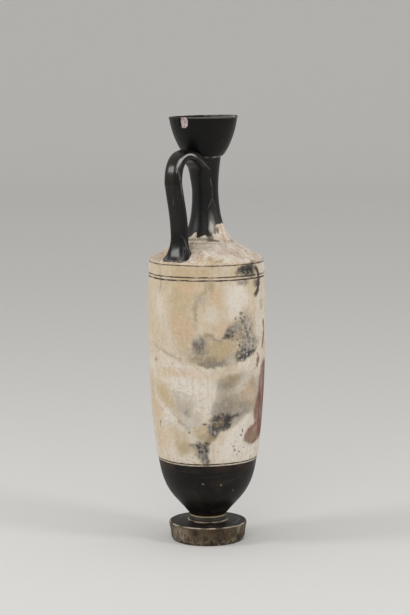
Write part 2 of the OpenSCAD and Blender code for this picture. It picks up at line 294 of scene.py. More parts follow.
def wall_side(s):
    """The wall, from the bowl to the shoulder's edge."""
    start, girth, top = np.array([[s.band_r, BAND_Z], [GIRTH_R, s.girth_z], [s.wall_top_r, s.wall_top_z]])
    w, h = girth - start
    upper_w, upper_h = girth[0] - top[0], top[1] - girth[1]
    return join(
        start,
        bend(start, start + (0.493 * w, 0.131 * h), girth - (0, 0.436 * h), girth),
        bend(girth, girth + (0, 0.346 * upper_h), top + (0.33 * upper_w, -0.346 * upper_h), top),
    )


def shoulder_side(s):
    """The rounded edge and the sloping shoulder, up to just inside the neck's seat."""
    top, seat = np.array([s.wall_top_r, s.wall_top_z]), np.array([NECK_BASE_R, SEAT_Z])
    e = s.edge_round
    end = top + (-0.62 * e, 1.5 * e)
    w, h = end[0] - seat[0], seat[1] - end[1]
    return join(
        bend(top, top + (-0.1 * MM, 0.8 * e), end + (0.5 * e, -0.27 * e), end, 16),
        bend(end, end + (-0.318 * w, 0.297 * h), seat + (0.273 * w, -0.227 * h), seat),
    )


def neck_side(s):
    """The neck, from its trumpet-shaped base to the joint with the mouth."""
    base, top = np.array([[NECK_BASE_R, NECK_Z], [NECK_TOP_R, NECK_END_Z]])
    waist = np.array([s.waist_r, SEAT_Z + s.waist_h])
    w, h = base[0] - waist[0], waist[1] - base[1]
    upper_w, upper_h = top - waist
    return join(
        base,
        bend(base, base + (-0.505 * w, 0.116 * h), waist + (0.02 * w, -0.63 * h), waist),
        bend(waist, waist + (0, 0.36 * upper_h), top - (0.4 * upper_w, 0.28 * upper_h), top),
    )


def mouth_outside(s):
    """The bell of the mouth, up to the lip's outer edge."""
    w, h = LIP_R - s.mouth_base_r, LIP_Z - MOUTH_Z
    start = np.array([s.mouth_base_r, MOUTH_Z + 0.02 * h])
    end = np.array([LIP_R - 0.05 * w, LIP_Z - 0.07 * h])
    return join(
        [s.mouth_base_r - 0.04 * w, MOUTH_Z],
        start,
        bend(start, start + (0.238 * w, 0.017 * h), (LIP_R - 0.17 * w, LIP_Z - 0.475 * h), end),
        [LIP_R, LIP_Z - 0.2 * s.lip_w],
        [LIP_R - 0.15 * s.lip_w, LIP_Z],
    )


def mouth_inside(s):
    """The cup of the mouth, from the lip's inner edge down to the throat."""
    w, h, floor = LIP_R - s.mouth_base_r, LIP_Z - MOUTH_Z, MOUTH_Z + s.mouth_floor_t
    throat_r, lip = BORE_R + s.throat_clear, np.array([LIP_R - s.lip_w, LIP_Z])
    end = np.array([throat_r + 0.06 * w, floor - 0.16 * s.mouth_floor_t])
    return join(
        lip,
        bend(lip, lip - (0.13 * w, 0.47 * h), (throat_r + 0.51 * w, floor + 0.03 * h), end),
        [throat_r, floor - 0.36 * s.mouth_floor_t],
        [throat_r, MOUTH_Z],
    )


# Meshes


def grain(points, lump, seed):
    """Smooth noise from -1 to 1 at each point, in lumps about that size."""
    cell = points / lump + 17.3 * seed
    base = np.floor(cell).astype(np.int64)
    part = cell - base
    part = part * part * (3 - 2 * part)
    total = np.zeros(points.shape[:-1])
    for corner in np.ndindex(2, 2, 2):
        x, y, z = np.moveaxis(base + np.array(corner), -1, 0)
        mixed = (x * 73856093) ^ (y * 19349663) ^ (z * 83492791)
        mixed = (mixed ^ (mixed >> 13)) * 1274126177
        value = ((mixed ^ (mixed >> 16)) & 0xFFFF) / 32767.5 - 1
        total += value * np.prod(np.where(corner, part, 1 - part), axis=-1)
    return total


def ease(value, low, high):
    """0 below low, 1 above high and a smooth step between."""
    t = np.clip((value - low) / (high - low), 0, 1)
    return t * t * (3 - 2 * t)


def wander(turn, height, amount, seed):
    """The slow stray of a thrown wall from a true circle."""
    ring = np.stack([np.cos(turn), np.sin(turn), height / (60 * MM) + 0 * turn], axis=-1)
    return amount * grain(ring, 1.1, seed)


def rings(height, amount, pitch, seed):
    """Fine ridges that run round the wheel."""
    line = np.stack([height * 0, height * 0, height], axis=-1)
    return amount * (0.6 * grain(line, pitch, seed) + 0.4 * grain(line, pitch * 0.37, seed + 1))


def shell(name, outline, sides, relief=None, axis=UPRIGHT):
    """A closed turned solid. The outline runs round its section with the clay on its left; where both of its
    ends lie on the axis they become poles. relief(turn, radius, height, place) pushes the surface outward."""
    outline = np.asarray(outline, float)
    poles = outline[0, 0] < 1e-7 and outline[-1, 0] < 1e-7
    along = np.gradient(outline, axis=0) if poles else (np.roll(outline, -1, 0) - np.roll(outline, 1, 0)) / 2
    along /= np.linalg.norm(along, axis=1)[:, None]
    out = np.stack([along[:, 1], -along[:, 0]], axis=1)
    path = outline[1:-1] if poles else outline
    out = out[1:-1] if poles else out
    turn = np.linspace(0, 2 * math.pi, sides, endpoint=False)[None, :]
    radius, height = path[:, :1] + 0 * turn, path[:, 1:] + 0 * turn
    if relief is not None:
        place = np.stack([radius * np.cos(turn), radius * np.sin(turn), height], axis=-1)
        push = relief(turn + 0 * radius, radius, height, place)
        radius, height = radius + push * out[:, :1], height + push * out[:, 1:]
    points = np.stack([radius * np.cos(turn), radius * np.sin(turn), height], axis=-1).reshape(-1, 3)
    count = len(path)
    low = np.arange(count - 1 if poles else count)[:, None] * sides
    high = (low + sides) % (count * sides)
    here, there = np.arange(sides)[None, :], np.roll(np.arange(sides), -1)[None, :]
    faces = np.stack([low + here, low + there, high + there, high + here], axis=-1).reshape(-1, 4).tolist()
    points = points.tolist()
    if poles:
        first, last = len(points), len(points) + 1
        points += [(0, 0, outline[0, 1]), (0, 0, outline[-1, 1])]
        top = (count - 1) * sides
        faces += [(first, (k + 1) % sides, k) for k in range(sides)]
        faces += [(last, top + k, top + (k + 1) % sides) for k in range(sides)]
    mesh = bpy.data.meshes.new(name)
    mesh.from_pydata(points, [], faces)
    mesh.transform(axis)
    return mesh


def add_piece(name, mesh, nodes, material):
    """Puts a mesh in the scene in place of CAD nodes, riding on the vessel."""
    mesh.validate()
    mesh.polygons.foreach_set("use_smooth", [True] * len(mesh.polygons))
    mesh.materials.append(material)
    piece = bpy.data.objects.new(name, mesh)
    bpy.context.scene.collection.objects.link(piece)
    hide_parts(*nodes)
    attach(piece, "root")
    return piece


# Shader arithmetic


class Wire:
    """One output of a node. Arithmetic on wires adds the Math nodes that work it out."""

    def __init__(self, finish, socket):
        self.finish, self.socket = finish, socket

    def maths(self, operation, other=None, swapped=False):
        """Adds a Math node for this wire and another value, or the other way round where swapped."""
        values = (other, self) if swapped else (self, other)
        values = [value for value in values if value is not None]
        return self.finish.node("ShaderNodeMath", {"operation": operation}, dict(enumerate(values)))

    def __add__(self, other):
        return self.maths("ADD", other)

    def __sub__(self, other):
        return self.maths("SUBTRACT", other)

    def __rsub__(self, other):
        return self.maths("SUBTRACT", other, swapped=True)

    def __mul__(self, other):
        return self.maths("MULTIPLY", other)

    def __truediv__(self, other):
        return self.maths("DIVIDE", other)

    def __abs__(self):
        return self.maths("ABSOLUTE")

    __radd__ = __add__
    __rmul__ = __mul__

    def at_most(self, other):
        """The smaller of the two."""
        return self.maths("MINIMUM", other)

    def at_least(self, other):
        """The larger of the two."""
        return self.maths("MAXIMUM", other)


class Sheet(NamedTuple):
    """A surface laid flat: metres round or across it, metres up, and both as a vector whose Z is 1."""

    around: Wire
    level: Wire
    place: Wire


class Finish:
    """A material, with the few kinds of mark that this vessel's surfaces are made of."""

    def __init__(self, name):
        """Starts a material whose place and height are those of the vessel."""
        self.material = bpy.data.materials.new(name)
        self.material.use_nodes = True
        self.tree = self.material.node_tree
        self.shader = self.tree.nodes["Principled BSDF"]
        self.place = self.node("ShaderNodeTexCoord", output="Object")
        self.height = self.node("ShaderNodeSeparateXYZ", values={0: self.place}, output="Z")

    def node(self, kind, settings=None, values=None, output=0):
        """Adds a node: its settings first, then the value or link of each socket."""
        made = self.tree.nodes.new(kind)
        for key, value in (settings or {}).items():
            setattr(made, key, value)
        for key, value in (values or {}).items():
            if isinstance(value, Wire):
                self.tree.links.new(value.socket, made.inputs[key])
            else:
                made.inputs[key].default_value = value
        return Wire(self, made.outputs[output])

    def fade(self, value, low, high, top=1.0):
        """0 at low, top at high, smooth between; low may be the larger."""
        values = {"Value": value, "From Min": low, "From Max": high, "To Max": top}
        return self.node("ShaderNodeMapRange", {"interpolation_type": "SMOOTHSTEP"}, values)

    def rise(self, low, high, top=1.0):
        """A fade over heights, in millimetres above the ground."""
        return self.fade(self.height, low * MM, high * MM, top)

    def mix(self, factor, under, over):
        """over laid on under as far as factor says."""
        under, over = (c if isinstance(c, Wire) else (*c, 1) for c in (under, over))
        return self.node("ShaderNodeMix", {"data_type": "RGBA"}, {0: factor, 6: under, 7: over}, output=2)

    def washes(self, colour, *rows):
        """The colour under washes. Each has its shade, the noise that it follows, that noise's values where
        the wash is absent and full, and its strength."""
        for shade, wave, low, high, strength in rows:
            colour = self.mix(self.fade(wave, low, high, strength), colour, shade)
        return colour

    def noise(self, lump, detail=3.0, rough=0.55, stretch=(1, 1, 1), seed=0.0):
        """Noise in lumps about that size, drawn out by stretch."""
        where = self.place
        if stretch != (1, 1, 1):
            shares = tuple(1 / k for k in stretch)
            where = self.node("ShaderNodeMapping", values={"Vector": where, "Scale": shares}, output="Vector")
        values = {"Vector": where, "Scale": 1 / lump, "Detail": detail, "Roughness": rough}
        if seed:
            values["W"] = seed
        return self.node("ShaderNodeTexNoise", {"noise_dimensions": "4D" if seed else "3D"}, values, "Fac")

    def blotches(self, lump, low, high, top=1.0, **kind):
        """Noise in lumps about that size as a mask: 0 where it is at low, top where it is at high."""
        return self.fade(self.noise(lump, **kind), low, high, top)

    def cells(self, lump, feature="F1"):
        """Cells about that size: the distance to their middles or edges."""
        values = {"Vector": self.place, "Scale": 1 / lump}
        return self.node("ShaderNodeTexVoronoi", {"feature": feature}, values, "Distance")

    def dot(self, place, along):
        """How far a place lies along a fixed direction."""
        return self.node("ShaderNodeVectorMath", {"operation": "DOT_PRODUCT"}, {0: place, 1: along}, "Value")

    def sheet(self, around, level):
        """A sheet of places from their two distances."""
        return Sheet(around, level, self.node("ShaderNodeCombineXYZ", values={0: around, 1: level, 2: 1}))

    def unrolled(self, radius, ragged=0.0, lump=0.006):
        """The surface laid flat, its places nudged by noise so that marks have ragged edges."""
        ahead = self.dot(self.place, (math.cos(VIEW_ANGLE), math.sin(VIEW_ANGLE), 0))
        aside = self.dot(self.place, (-math.sin(VIEW_ANGLE), math.cos(VIEW_ANGLE), 0))
        around, level = aside.maths("ARCTAN2", ahead) * radius, self.height
        if ragged:
            around = around + (self.noise(lump, 4, 0.65) - 0.5) * (2 * ragged)
            level = level + (self.noise(lump, 4, 0.65, seed=3) - 0.5) * (2 * ragged)
        return self.sheet(around, level)

    def oval(self, sheet, at, half, tilt=0.0):
        """How far out of a tilted oval a place is: 0 in its middle, 1 on its rim. Sizes in millimetres."""
        turn = math.radians(tilt)
        ways = []
        for angle, share in ((turn, 1 / half[0] / MM), (turn + math.pi / 2, 1 / half[1] / MM)):
            x, y = math.cos(angle) * share, math.sin(angle) * share
            ways.append(self.dot(sheet.place, (x, y, -(x * at[0] + y * at[1]) * MM)))
        local = self.node("ShaderNodeCombineXYZ", values={0: ways[0], 1: ways[1]})
        return self.node("ShaderNodeVectorMath", {"operation": "LENGTH"}, {0: local}, "Value")

    def patch(self, sheet, at, half, tilt=0.0, soft=0.4, top=1.0):
        """top in a tilted oval, 0 outside it."""
        return self.fade(self.oval(sheet, at, half, tilt), 1 + soft, 1 - soft, top)

    def specks(self, colour, shade, sheet, rows, soft, strength):
        """The colour under small ovals of one shade, each (around, height, half width, half height)."""
        for x, z, half_w, half_h in rows:
            colour = self.mix(self.patch(sheet, (x, z), (half_w, half_h), 0, soft, strength), colour, shade)
        return colour

    def hoop(self, sheet, at, half, width, tilt=0.0):
        """1 on the rim of a tilted oval, width being the line's share of the oval's size."""
        return self.fade(abs(self.oval(sheet, at, half, tilt) - 1), width, width * 0.45)

    def bump(self, height, depth, strength):
        """A normal bent by height, depth being what 1 stands for in metres."""
        return self.node("ShaderNodeBump", values={"Height": height, "Distance": depth, "Strength": strength})

    def done(self, colour, roughness, normal=None, specular=0.5):
        """Connects the shader and gives the material back."""
        for key, value in (("Base Color", colour), ("Roughness", roughness), ("Normal", normal)):
            if isinstance(value, Wire):
                self.tree.links.new(value.socket, self.shader.inputs[key])
            elif value is not None:
                self.shader.inputs[key].default_value = value
        self.shader.inputs["Specular IOR Level"].default_value = specular
        return self.material


# Marks. A place on a turned piece is (millimetres round it from the line that faces the camera, height).

# Stains of the white coat in order of painting: colour, strength, middle, half width and half height, tilt in
# degrees, softness.
WALL_STAINS = (
    ("ochre", 0.42, (-4, 199), (58, 57), 0, 0.04),
    ("cream", 0.70, (-50, 190), (9, 42), 6, 0.6),
    ("chalk", 0.55, (-41, 190), (4, 12), 0, 0.7),
    ("ochre", 0.60, (-20, 186), (10, 26), 0, 0.5),
    ("ochre", 0.60, (-13, 215), (17, 5), 0, 0.6),
    ("peach", 0.70, (-14, 203), (7, 4.5), 0, 0.6),
    ("peach", 0.55, (-20, 172), (9, 9), 0, 0.7),
    ("peach", 0.60, (7, 196), (7, 10), 10, 0.6),
    ("peach", 0.45, (11, 172), (9, 7), 0, 0.7),
    ("chalk", 0.50, (4, 184), (6, 6), 0, 0.7),
    ("chalk", 0.85, (24, 195), (10.5, 11), -14, 0.45),
    ("chalk", 0.60, (21, 183), (9, 5), 20, 0.6),
    ("peach", 0.45, (41, 186), (3.5, 15), 0, 0.6),
    ("chalk", 0.45, (48, 184), (5, 26), 0, 0.6),
    ("umber", 0.45, (3, 205), (2.6, 4.5), 15, 0.7),
    ("umber", 0.50, (-3.5, 197), (1.8, 9), -34, 0.7),
    ("umber", 0.50, (-8.5, 185), (1.7, 10), -3, 0.7),
    ("ash", 0.55, (-5, 193), (6, 3), 40, 0.7),
    ("smoke", 0.50, (-40.5, 209), (1.5, 10), 5, 0.7),
    ("umber", 0.45, (52, 188), (2.5, 3), 0, 0.7),
    ("umber", 0.55, (8, 156), (12, 7.5), -6, 0.6),
    ("ochre", 0.60, (9, 157), (11, 6), -6, 0.6),
    ("umber", 0.35, (-9, 152), (9, 6), -12, 0.7),
    ("umber", 0.75, (2, 147), (14, 4.2), -8, 0.35),
    ("smoke", 0.70, (4, 145.4), (11, 2.8), -6, 0.35),
    ("umber", 0.40, (-35, 153.0), (15, 1.4), -20, 0.7),
    ("ash", 0.60, (18, 148), (6, 4), 10, 0.6),
    ("smoke", 0.55, (26, 170), (10, 9), 30, 0.6),
    ("smoke", 0.55, (33, 168), (8, 14), 10, 0.6),
    ("smoke", 0.88, (18.5, 169.6), (7.5, 4.2), 26, 0.45),
    ("soot", 0.65, (16.5, 167.5), (5.0, 3.6), 28, 0.5),
    ("umber", 0.60, (25.5, 168), (2.2, 4.0), 0, 0.6),
    ("soot", 0.55, (32.5, 168), (1.6, 3.6), 0, 0.6),
    ("smoke", 0.82, (-5, 159.5), (5.8, 6.8), -12, 0.50),
    ("soot", 0.55, (-5.5, 158), (3.4, 4.4), -10, 0.6),
    ("umber", 0.70, (2, 166.3), (4.2, 1.9), -8, 0.6),
    ("smoke", 0.50, (8, 163.8), (4.2, 1.3), -28, 0.6),
    ("smoke", 0.60, (-6, 165), (1.6, 2.6), 10, 0.6),
    ("smoke", 0.85, (35, 156.4), (11, 7.5), 26, 0.40),
    ("soot", 0.70, (29, 152.6), (6.4, 4.2), 26, 0.5),
    ("soot", 0.92, (34, 150.6), (9.5, 2.3), 24, 0.40),
    ("soot", 1.00, (32.5, 215.6), (8.6, 4.4), 4, 0.35),
    ("soot", 0.92, (36.5, 218.2), (6.0, 2.6), 8, 0.4),
    ("soot", 0.80, (38.5, 211), (4.5, 2.6), 0, 0.5),
    ("smoke", 0.80, (30, 207.2), (5.5, 2.0), 4, 0.6),
    ("soot", 0.85, (44.5, 205), (3.0, 3.4), -20, 0.5),
    ("peach", 0.50, (-15, 137), (20, 4), -3, 0.6),
    ("chalk", 0.65, (-18, 131), (22, 2.2), -3, 0.6),
    ("chalk", 0.70, (-8, 125.5), (16, 3.6), -4, 0.6),
    ("chalk", 0.45, (2, 120), (5, 14), 0, 0.5),
    ("umber", 0.30, (-22, 122.5), (12, 1.4), -10, 0.7),
    ("ash", 0.60, (-20, 112), (9, 7), 0, 0.7),
    ("ash", 0.45, (-13, 98), (11, 8), 0, 0.8),
    ("smoke", 0.45, (12, 108), (9, 6), 0, 0.5),
    ("smoke", 0.35, (24, 110), (14, 7), 0, 0.6),
    ("umber", 0.60, (20, 133), (8, 4.4), 12, 0.7),
    ("smoke", 0.40, (13, 129), (6, 3), 0, 0.7),
    ("smoke", 0.34, (16, 114), (5, 5), 0, 0.7),
    ("chalk", 0.45, (30, 128), (9, 3.4), 34, 0.6),
    ("peach", 0.50, (37, 121), (8, 8), 10, 0.7),
    ("smoke", 0.34, (33, 110), (7, 4), 10, 0.7),
    ("umber", 0.35, (41, 128), (3.5, 4), 0, 0.7),
    ("ochre", 0.80, (-38, 119), (14, 4.6), -40, 0.6),
    ("peach", 0.60, (-50, 106), (7, 8), 0, 0.7),
    ("ochre", 0.55, (-56, 124), (5, 12), 0, 0.7),
    ("chalk", 0.55, (-36, 106), (14, 1.5), -38, 0.6),
    ("chalk", 0.45, (-21, 94), (12, 1.2), -52, 0.6),
    ("umber", 0.40, (-24, 101), (10, 0.8), -42, 0.7),
    ("ochre", 0.60, (-22, 80), (9, 6), -16, 0.7),
    ("umber", 0.35, (-20, 80), (7, 5), -20, 0.8),
    ("ochre", 0.50, (-30, 90), (9, 5), -30, 0.7),
    ("peach", 0.55, (-42, 82), (9, 7), 0, 0.8),
    ("chalk", 0.50, (-13, 72), (7, 3.6), 0, 0.6),
    ("peach", 0.55, (0, 95), (4.5, 4.5), 0, 0.6),
    ("ochre", 0.70, (-6, 92), (6, 4.5), 0, 0.6),
    ("umber", 0.50, (-1, 88), (7, 3.4), 10, 0.6),
    ("smoke", 0.60, (-15.5, 107), (2.6, 3.2), 0, 0.7),
    ("umber", 0.80, (3.5, 88), (3.4, 7), -38, 0.5),
    ("smoke", 0.90, (12.5, 99.4), (11.5, 5.4), 26, 0.25),
    ("smoke", 0.85, (6, 96), (6, 5.5), 30, 0.4),
    ("soot", 0.80, (12, 100.4), (10.5, 4.4), 20, 0.35),
    ("soot", 0.80, (8.5, 103.4), (6.5, 2.2), 4, 0.5),
    ("soot", 0.75, (14.5, 97.6), (6.0, 2.6), 38, 0.5),
    ("soot", 0.75, (21.5, 104.0), (6.0, 1.7), 12, 0.5),
    ("soot", 0.60, (5.5, 93), (3.4, 3.4), 0, 0.6),
    ("umber", 0.55, (8.5, 98.4), (3.4, 1.8), 10, 0.6),
    ("chalk", 0.85, (6.2, 92.6), (0.9, 1.0), 0, 0.5),
    ("soot", 0.88, (-5.6, 82.4), (8.8, 3.0), 3, 0.35),
    ("soot", 0.86, (-5.0, 78.8), (6.8, 3.8), 4, 0.4),
    ("soot", 0.86, (-4.6, 74.6), (5.8, 4.4), 10, 0.4),
    ("soot", 0.86, (-2.0, 69.4), (3.8, 5.0), 14, 0.4),
    ("ash", 0.70, (-10, 77.5), (1.8, 4), 10, 0.6),
    ("chalk", 0.85, (26, 87.0), (23, 8.4), 46, 0.22),
    ("cream", 0.50, (40, 92), (5, 8), 0, 0.6),
    ("peach", 0.45, (15, 225), (60, 5), 0, 0.4),
    ("chalk", 0.60, (20, 230), (34, 4), 0, 0.6),
    ("chalk", 0.50, (34, 224.5), (14, 2.4), 6, 0.6),
    ("ochre", 0.40, (6, 223.0), (13, 1.8), 0, 0.7),
    ("chalk", 0.40, (12, 226.5), (8, 2.0), -10, 0.7),
    ("ochre", 0.40, (-58, 226), (20, 4), 0, 0.7),
    ("umber", 0.55, (-23, 231.5), (10, 2.4), 24, 0.6),
    ("smoke", 0.50, (-20, 228.5), (5, 2.0), 30, 0.6),
    ("smoke", 0.55, (-26, 223.2), (11, 1.5), 0, 0.6),
    ("umber", 0.40, (-4, 230.5), (9, 1.3), 0, 0.7),
    ("umber", 0.40, (6, 220.2), (9, 1.1), 0, 0.7),
    ("soot", 0.70, (55, 221.2), (16, 0.8), 0, 0.5),
    ("ochre", 0.50, (100, 150), (22, 50), 10, 0.7),
    ("ochre", 0.45, (-105, 120), (25, 40), -10, 0.7),
    ("soot", 0.60, (-130, 96), (10, 14), 25, 0.6),
    ("smoke", 0.60, (120, 96), (18, 8), -25, 0.6),
    ("smoke", 0.50, (-98, 196), (9, 15), 20, 0.7),
    ("soot", 0.55, (86, 203), (8, 3), -10, 0.5),
)

# The grey smear low on the wall, and the straight edge that cuts it off: shares of around and height, offset.
GREY_VEIL = ((25, 117), (29, 19), 6, 0.30)
GREY_VEIL_EDGE = (0.981, -0.196, 18.6 * MM)

# Small dark grains of soot and earth: (around, height, half width, half height)
GRAINS = (
    (27.5, 183, 1.3, 1.2), (28.3, 176.6, 1.3, 1.6), (26.8, 179.2, 0.8, 0.9), (30.3, 180, 0.8, 0.8),
    (22, 179.6, 0.8, 0.9), (31.2, 172.5, 0.9, 1.3), (36.5, 171, 0.8, 1.5), (20.6, 166, 0.9, 0.8),
    (23.5, 163.6, 1.1, 0.8), (29.3, 163.4, 1.0, 1.3), (35.6, 163, 0.9, 0.9), (25, 158.6, 0.8, 1.0),
    (-2, 98.6, 2.0, 0.8), (-45, 97, 0.7, 1.7), (31, 91.6, 0.7, 1.8), (29.6, 88.6, 1.0, 0.8),
    (24, 77, 0.9, 1.2), (23, 80, 0.8, 0.6), (29, 75.6, 0.7, 0.7), (34, 78, 0.7, 0.6),
    (-15.6, 91.6, 0.8, 0.8), (-47, 146, 1.0, 1.2), (16, 166.4, 2.2, 1.0), (40, 157, 1.2, 1.2),
)

# Lines of brown slip round the wheel: height, half thickness, strength
BAND_LINES = ((211.0, 0.50, 0.95), (208.6, 0.55, 0.98), (219.8, 0.42, 0.85), (66.7, 0.50, 0.97))

# The picture side: a generic grave offering, without figures. The cloth's parts are given like the stains,
# its creases as middle and half sizes of an oval's rim, and the specks of red like the grains.
CLOTH_FOLDS = (
    ("red", 0.82, (62, 124), (12.0, 21), 6, 0.14),
    ("red", 0.84, (61, 104), (16.5, 20), 0, 0.12),
    ("red", 0.85, (50, 88.5), (17, 8.4), 10, 0.12),
    ("umber", 0.45, (45, 85), (10, 4.5), 8, 0.6),
    ("pink", 0.60, (48.5, 92), (4.5, 3.0), 30, 0.7),
    ("pink", 0.40, (60, 106), (2.4, 18), 8, 0.7),
    ("soot", 0.35, (53, 106), (2.2, 16), 10, 0.7),
    ("pink", 0.45, (55, 126), (2.2, 9), 16, 0.7),
)
CLOTH_CREASES = (((40, 120), (22, 42)), ((36, 112), (32, 40)), ((92, 124), (26, 48)), ((84, 118), (26, 42)))
RED_SPECKS = (
    (47, 145.4, 2.2, 3.4), (46, 141.5, 1.4, 2.0), (45.8, 150.5, 0.8, 1.4), (38, 91, 0.6, 0.9),
    (32, 95.6, 0.5, 0.7), (51, 75, 0.8, 0.8), (27, 73.6, 0.6, 0.6),
)
SLAB_AT = 112  # the middle of the picture side, opposite the handle
SLAB_BLOCKS = ((13, 86, 182), (17, 80, 86), (21, 74, 80), (15.5, 182, 187))  # half width, lowest, highest
RIBBONS = ((112, "red"), (128, "soot"), (146, "red"), (163, "soot"))  # lower edge, colour
RIBBON_W = 3.2

# Pits of the bowl, given like the grains, and long faint scratches: middle, half sizes, tilt in degrees
BOWL_PITS = ((-3.7, 50.8, 0.9, 0.7), (10.4, 49.6, 0.8, 0.8), (22, 44, 0.6, 0.5))
BOWL_SCRATCHES = (((8, 57), (17, 0.35), 5), ((-14, 60), (12, 0.3), -3), ((18, 53), (9, 0.3), 12))

# Brown smudges where the neck's gloss ends: middle, half sizes, tilt, strength
NECK_SMUDGES = (
    ((1.9, 238.8), (1.4, 3.2), -14, 0.7),
    ((4.6, 236.0), (3.0, 0.6), -24, 0.6),
    ((-3, 237.6), (4, 1.0), 10, 0.5),
    ((-8.5, 236.6), (3, 1.2), 20, 0.5),
    ((6.8, 244.4), (0.9, 2.8), -8, 0.8),
    ((2.6, 236.4), (3.4, 1.4), -20, 0.6),
)

# Cracks in the neck: from, to, strength
CRACKS = (
    ((2.7, 287), (3.3, 284), 0.8),
    ((3.3, 284), (5.3, 277.5), 1.0),
    ((5.3, 277.5), (5.6, 268.5), 0.35),
    ((5.6, 268.5), (8.8, 261.2), 0.45),
    ((5.6, 268.5), (1.5, 261), 0.55),
)

# The chip under the lip: its middle, its half sizes, and its shift round the mouth for each millimetre down
CHIP_AT = (-17.8, 326.5)
CHIP_HALF = (3.4, 4.0)
CHIP_LEAN = -0.125

# The painted highlight along the strap's ridge, seen from the side as (distance from the axis, height): the
# crown's arc with its half sizes and share of width, and the streaks beside it, given like the neck's smudges
RIDGE_HIGHLIGHT_ARC = ((29, 285), (16.0, 17.7), 0.048)
RIDGE_HIGHLIGHT_STREAKS = (
    ((41.0, 281.6), (11.8, 0.8), 78, 0.50),
    ((12.8, 294.9), (8.2, 0.5), 37, 0.50),
    ((35.0, 234.0), (6.0, 0.6), 74, 0.50),
)


# Materials


def strongest(masks):
    """The strongest of some masks at each place."""
    return functools.reduce(Wire.at_least, masks)


def gloss_surface(f, look, thin=None, scratches=(1, 1, 0.12), misfired=0.75):
    """(colour, roughness, height) of worn black gloss. misfired is how brown its brownest clouds are, and
    thin is added to them."""
    cloud, fine = f.noise(0.014, detail=5), f.noise(0.0012, detail=2)
    scratch = f.noise(0.004, stretch=scratches, detail=3)
    brown = f.fade(cloud, 0.50, 0.72, misfired)
    if thin is not None:
        brown = (brown + thin).at_most(1.0)
    rub = f.fade(scratch, 0.66, 0.78, 0.18)
    specks = f.fade(f.cells(0.0042), 0.10, 0.05) * f.blotches(0.009, 0.60, 0.70)
    colour = f.mix(brown, look.gloss, look.thin_gloss)
    colour = f.mix(rub, colour, look.worn_gloss)
    colour = f.mix(specks * 0.35, colour, look.crust)
    roughness = 0.30 + cloud * 0.16 + brown * 0.12 + rub * 0.6
    return colour, roughness, fine * 0.5 + scratch * 0.35 + specks


def coat_surface(f, look):
    """(colour, clouds, mottling, fine grain) of the white coat, before its stains are laid on."""
    cloud = f.noise(0.028, detail=4, stretch=(1, 1, 1.5))
    mottle, fine = f.noise(0.0065, detail=5, rough=0.66), f.noise(0.0011, detail=3)
    flecks = f.noise(0.0024, detail=4, rough=0.65, seed=2)
    strokes = f.noise(0.0035, detail=4, rough=0.6, stretch=(4, 4, 0.45))
    colour = f.washes(
        f.mix(f.fade(cloud, 0.36, 0.62), look.cream, look.chalk),
        (look.ochre, f.noise(0.034, detail=3, stretch=(1, 1, 0.8)), 0.50, 0.70, 0.35),
        (look.peach, mottle, 0.52, 0.68, 0.42),
        (look.smoke, mottle, 0.46, 0.26, 0.34),
        (look.chalk, strokes, 0.54, 0.72, 0.55),
        (look.umber, strokes, 0.42, 0.26, 0.35),
        (look.chalk, flecks, 0.54, 0.72, 0.50),
        (look.umber, flecks, 0.45, 0.28, 0.40),
    )
    return colour, cloud, mottle, fine


def smeared(f, look, colour, share):
    """The colour under smears of chalk and brown earth, as far as share says."""
    smear, dabs = f.noise(0.0046, detail=4, rough=0.62, seed=5), f.noise(0.0021, detail=3, seed=6)
    return f.washes(
        colour,
        (look.chalk, smear, 0.50, 0.57, share * 0.85),
        (look.umber, smear, 0.45, 0.37, share * 0.55),
        (look.pink, f.noise(0.0085, detail=4, seed=7), 0.48, 0.60, share * 0.45),
        (look.chalk, dabs, 0.52, 0.64, share * 0.50),
        (look.bare, dabs, 0.40, 0.26, share * 0.22),
    )


def stained(f, look, colour, ragged, lumps):
    """The coat's colour under its grey smear and its stains. Sharp stains follow the finer ragged sheet, and
    all but the darkest smoke and soot break up into lumps."""
    torn = f.unrolled(WALL_R, ragged=6.0 * MM, lump=0.008)
    veil = f.patch(torn, *GREY_VEIL) * f.fade(f.dot(ragged.place, GREY_VEIL_EDGE), 0, 1.4 * MM)
    colour = f.mix(veil * 0.40, colour, look.smoke)
    colour = f.mix(veil * 0.24, colour, look.umber)
    blotchy = 0.55 + lumps * 0.45
    for shade, strength, at, half, tilt, soft in WALL_STAINS:
        mask = f.patch(ragged if soft < 0.15 else torn, at, half, tilt, soft, strength)
        if shade in ("smoke", "soot") and strength < 0.9:
            mask = mask * blotchy
        colour = f.mix(mask, colour, getattr(look, shade))
    return colour


def dirty(f, look, colour, flat, ragged):
    """The coat's colour under what lies on its stains: veils, smears on the shoulder, grains and rust."""
    veil = f.noise(0.0030, detail=4, rough=0.7, seed=4)
    strands = f.noise(0.0026, detail=3, stretch=(1, 1, 7), seed=8)
    colour = f.washes(
        colour,
        (look.chalk, veil, 0.52, 0.70, 0.36),
        (look.umber, veil, 0.46, 0.30, 0.32),
        (look.ochre, strands, 0.54, 0.70, 0.34),
        (look.chalk, strands, 0.44, 0.30, 0.24),
    )
    colour = smeared(f, look, colour, f.rise(218.5, 223))
    colour = f.specks(colour, look.soot, ragged, GRAINS, 0.5, 0.7)
    rust = f.hoop(ragged, (36.0, 206.5), (13.0, 12.4), 0.20) * f.patch(flat, (47, 206), (8, 14), 0, 0.2)
    colour = f.mix(rust * 0.92, colour, look.brown)
    grit = f.blotches(0.0016, 0.56, 0.66, detail=2) * f.patch(ragged, (36, 160), (17, 19), 20, 0.4)
    colour = f.mix(grit * 0.55, colour, look.chalk)
    return f.washes(colour, (look.soot, f.noise(0.0022, detail=2), 0.63, 0.72, 0.22))


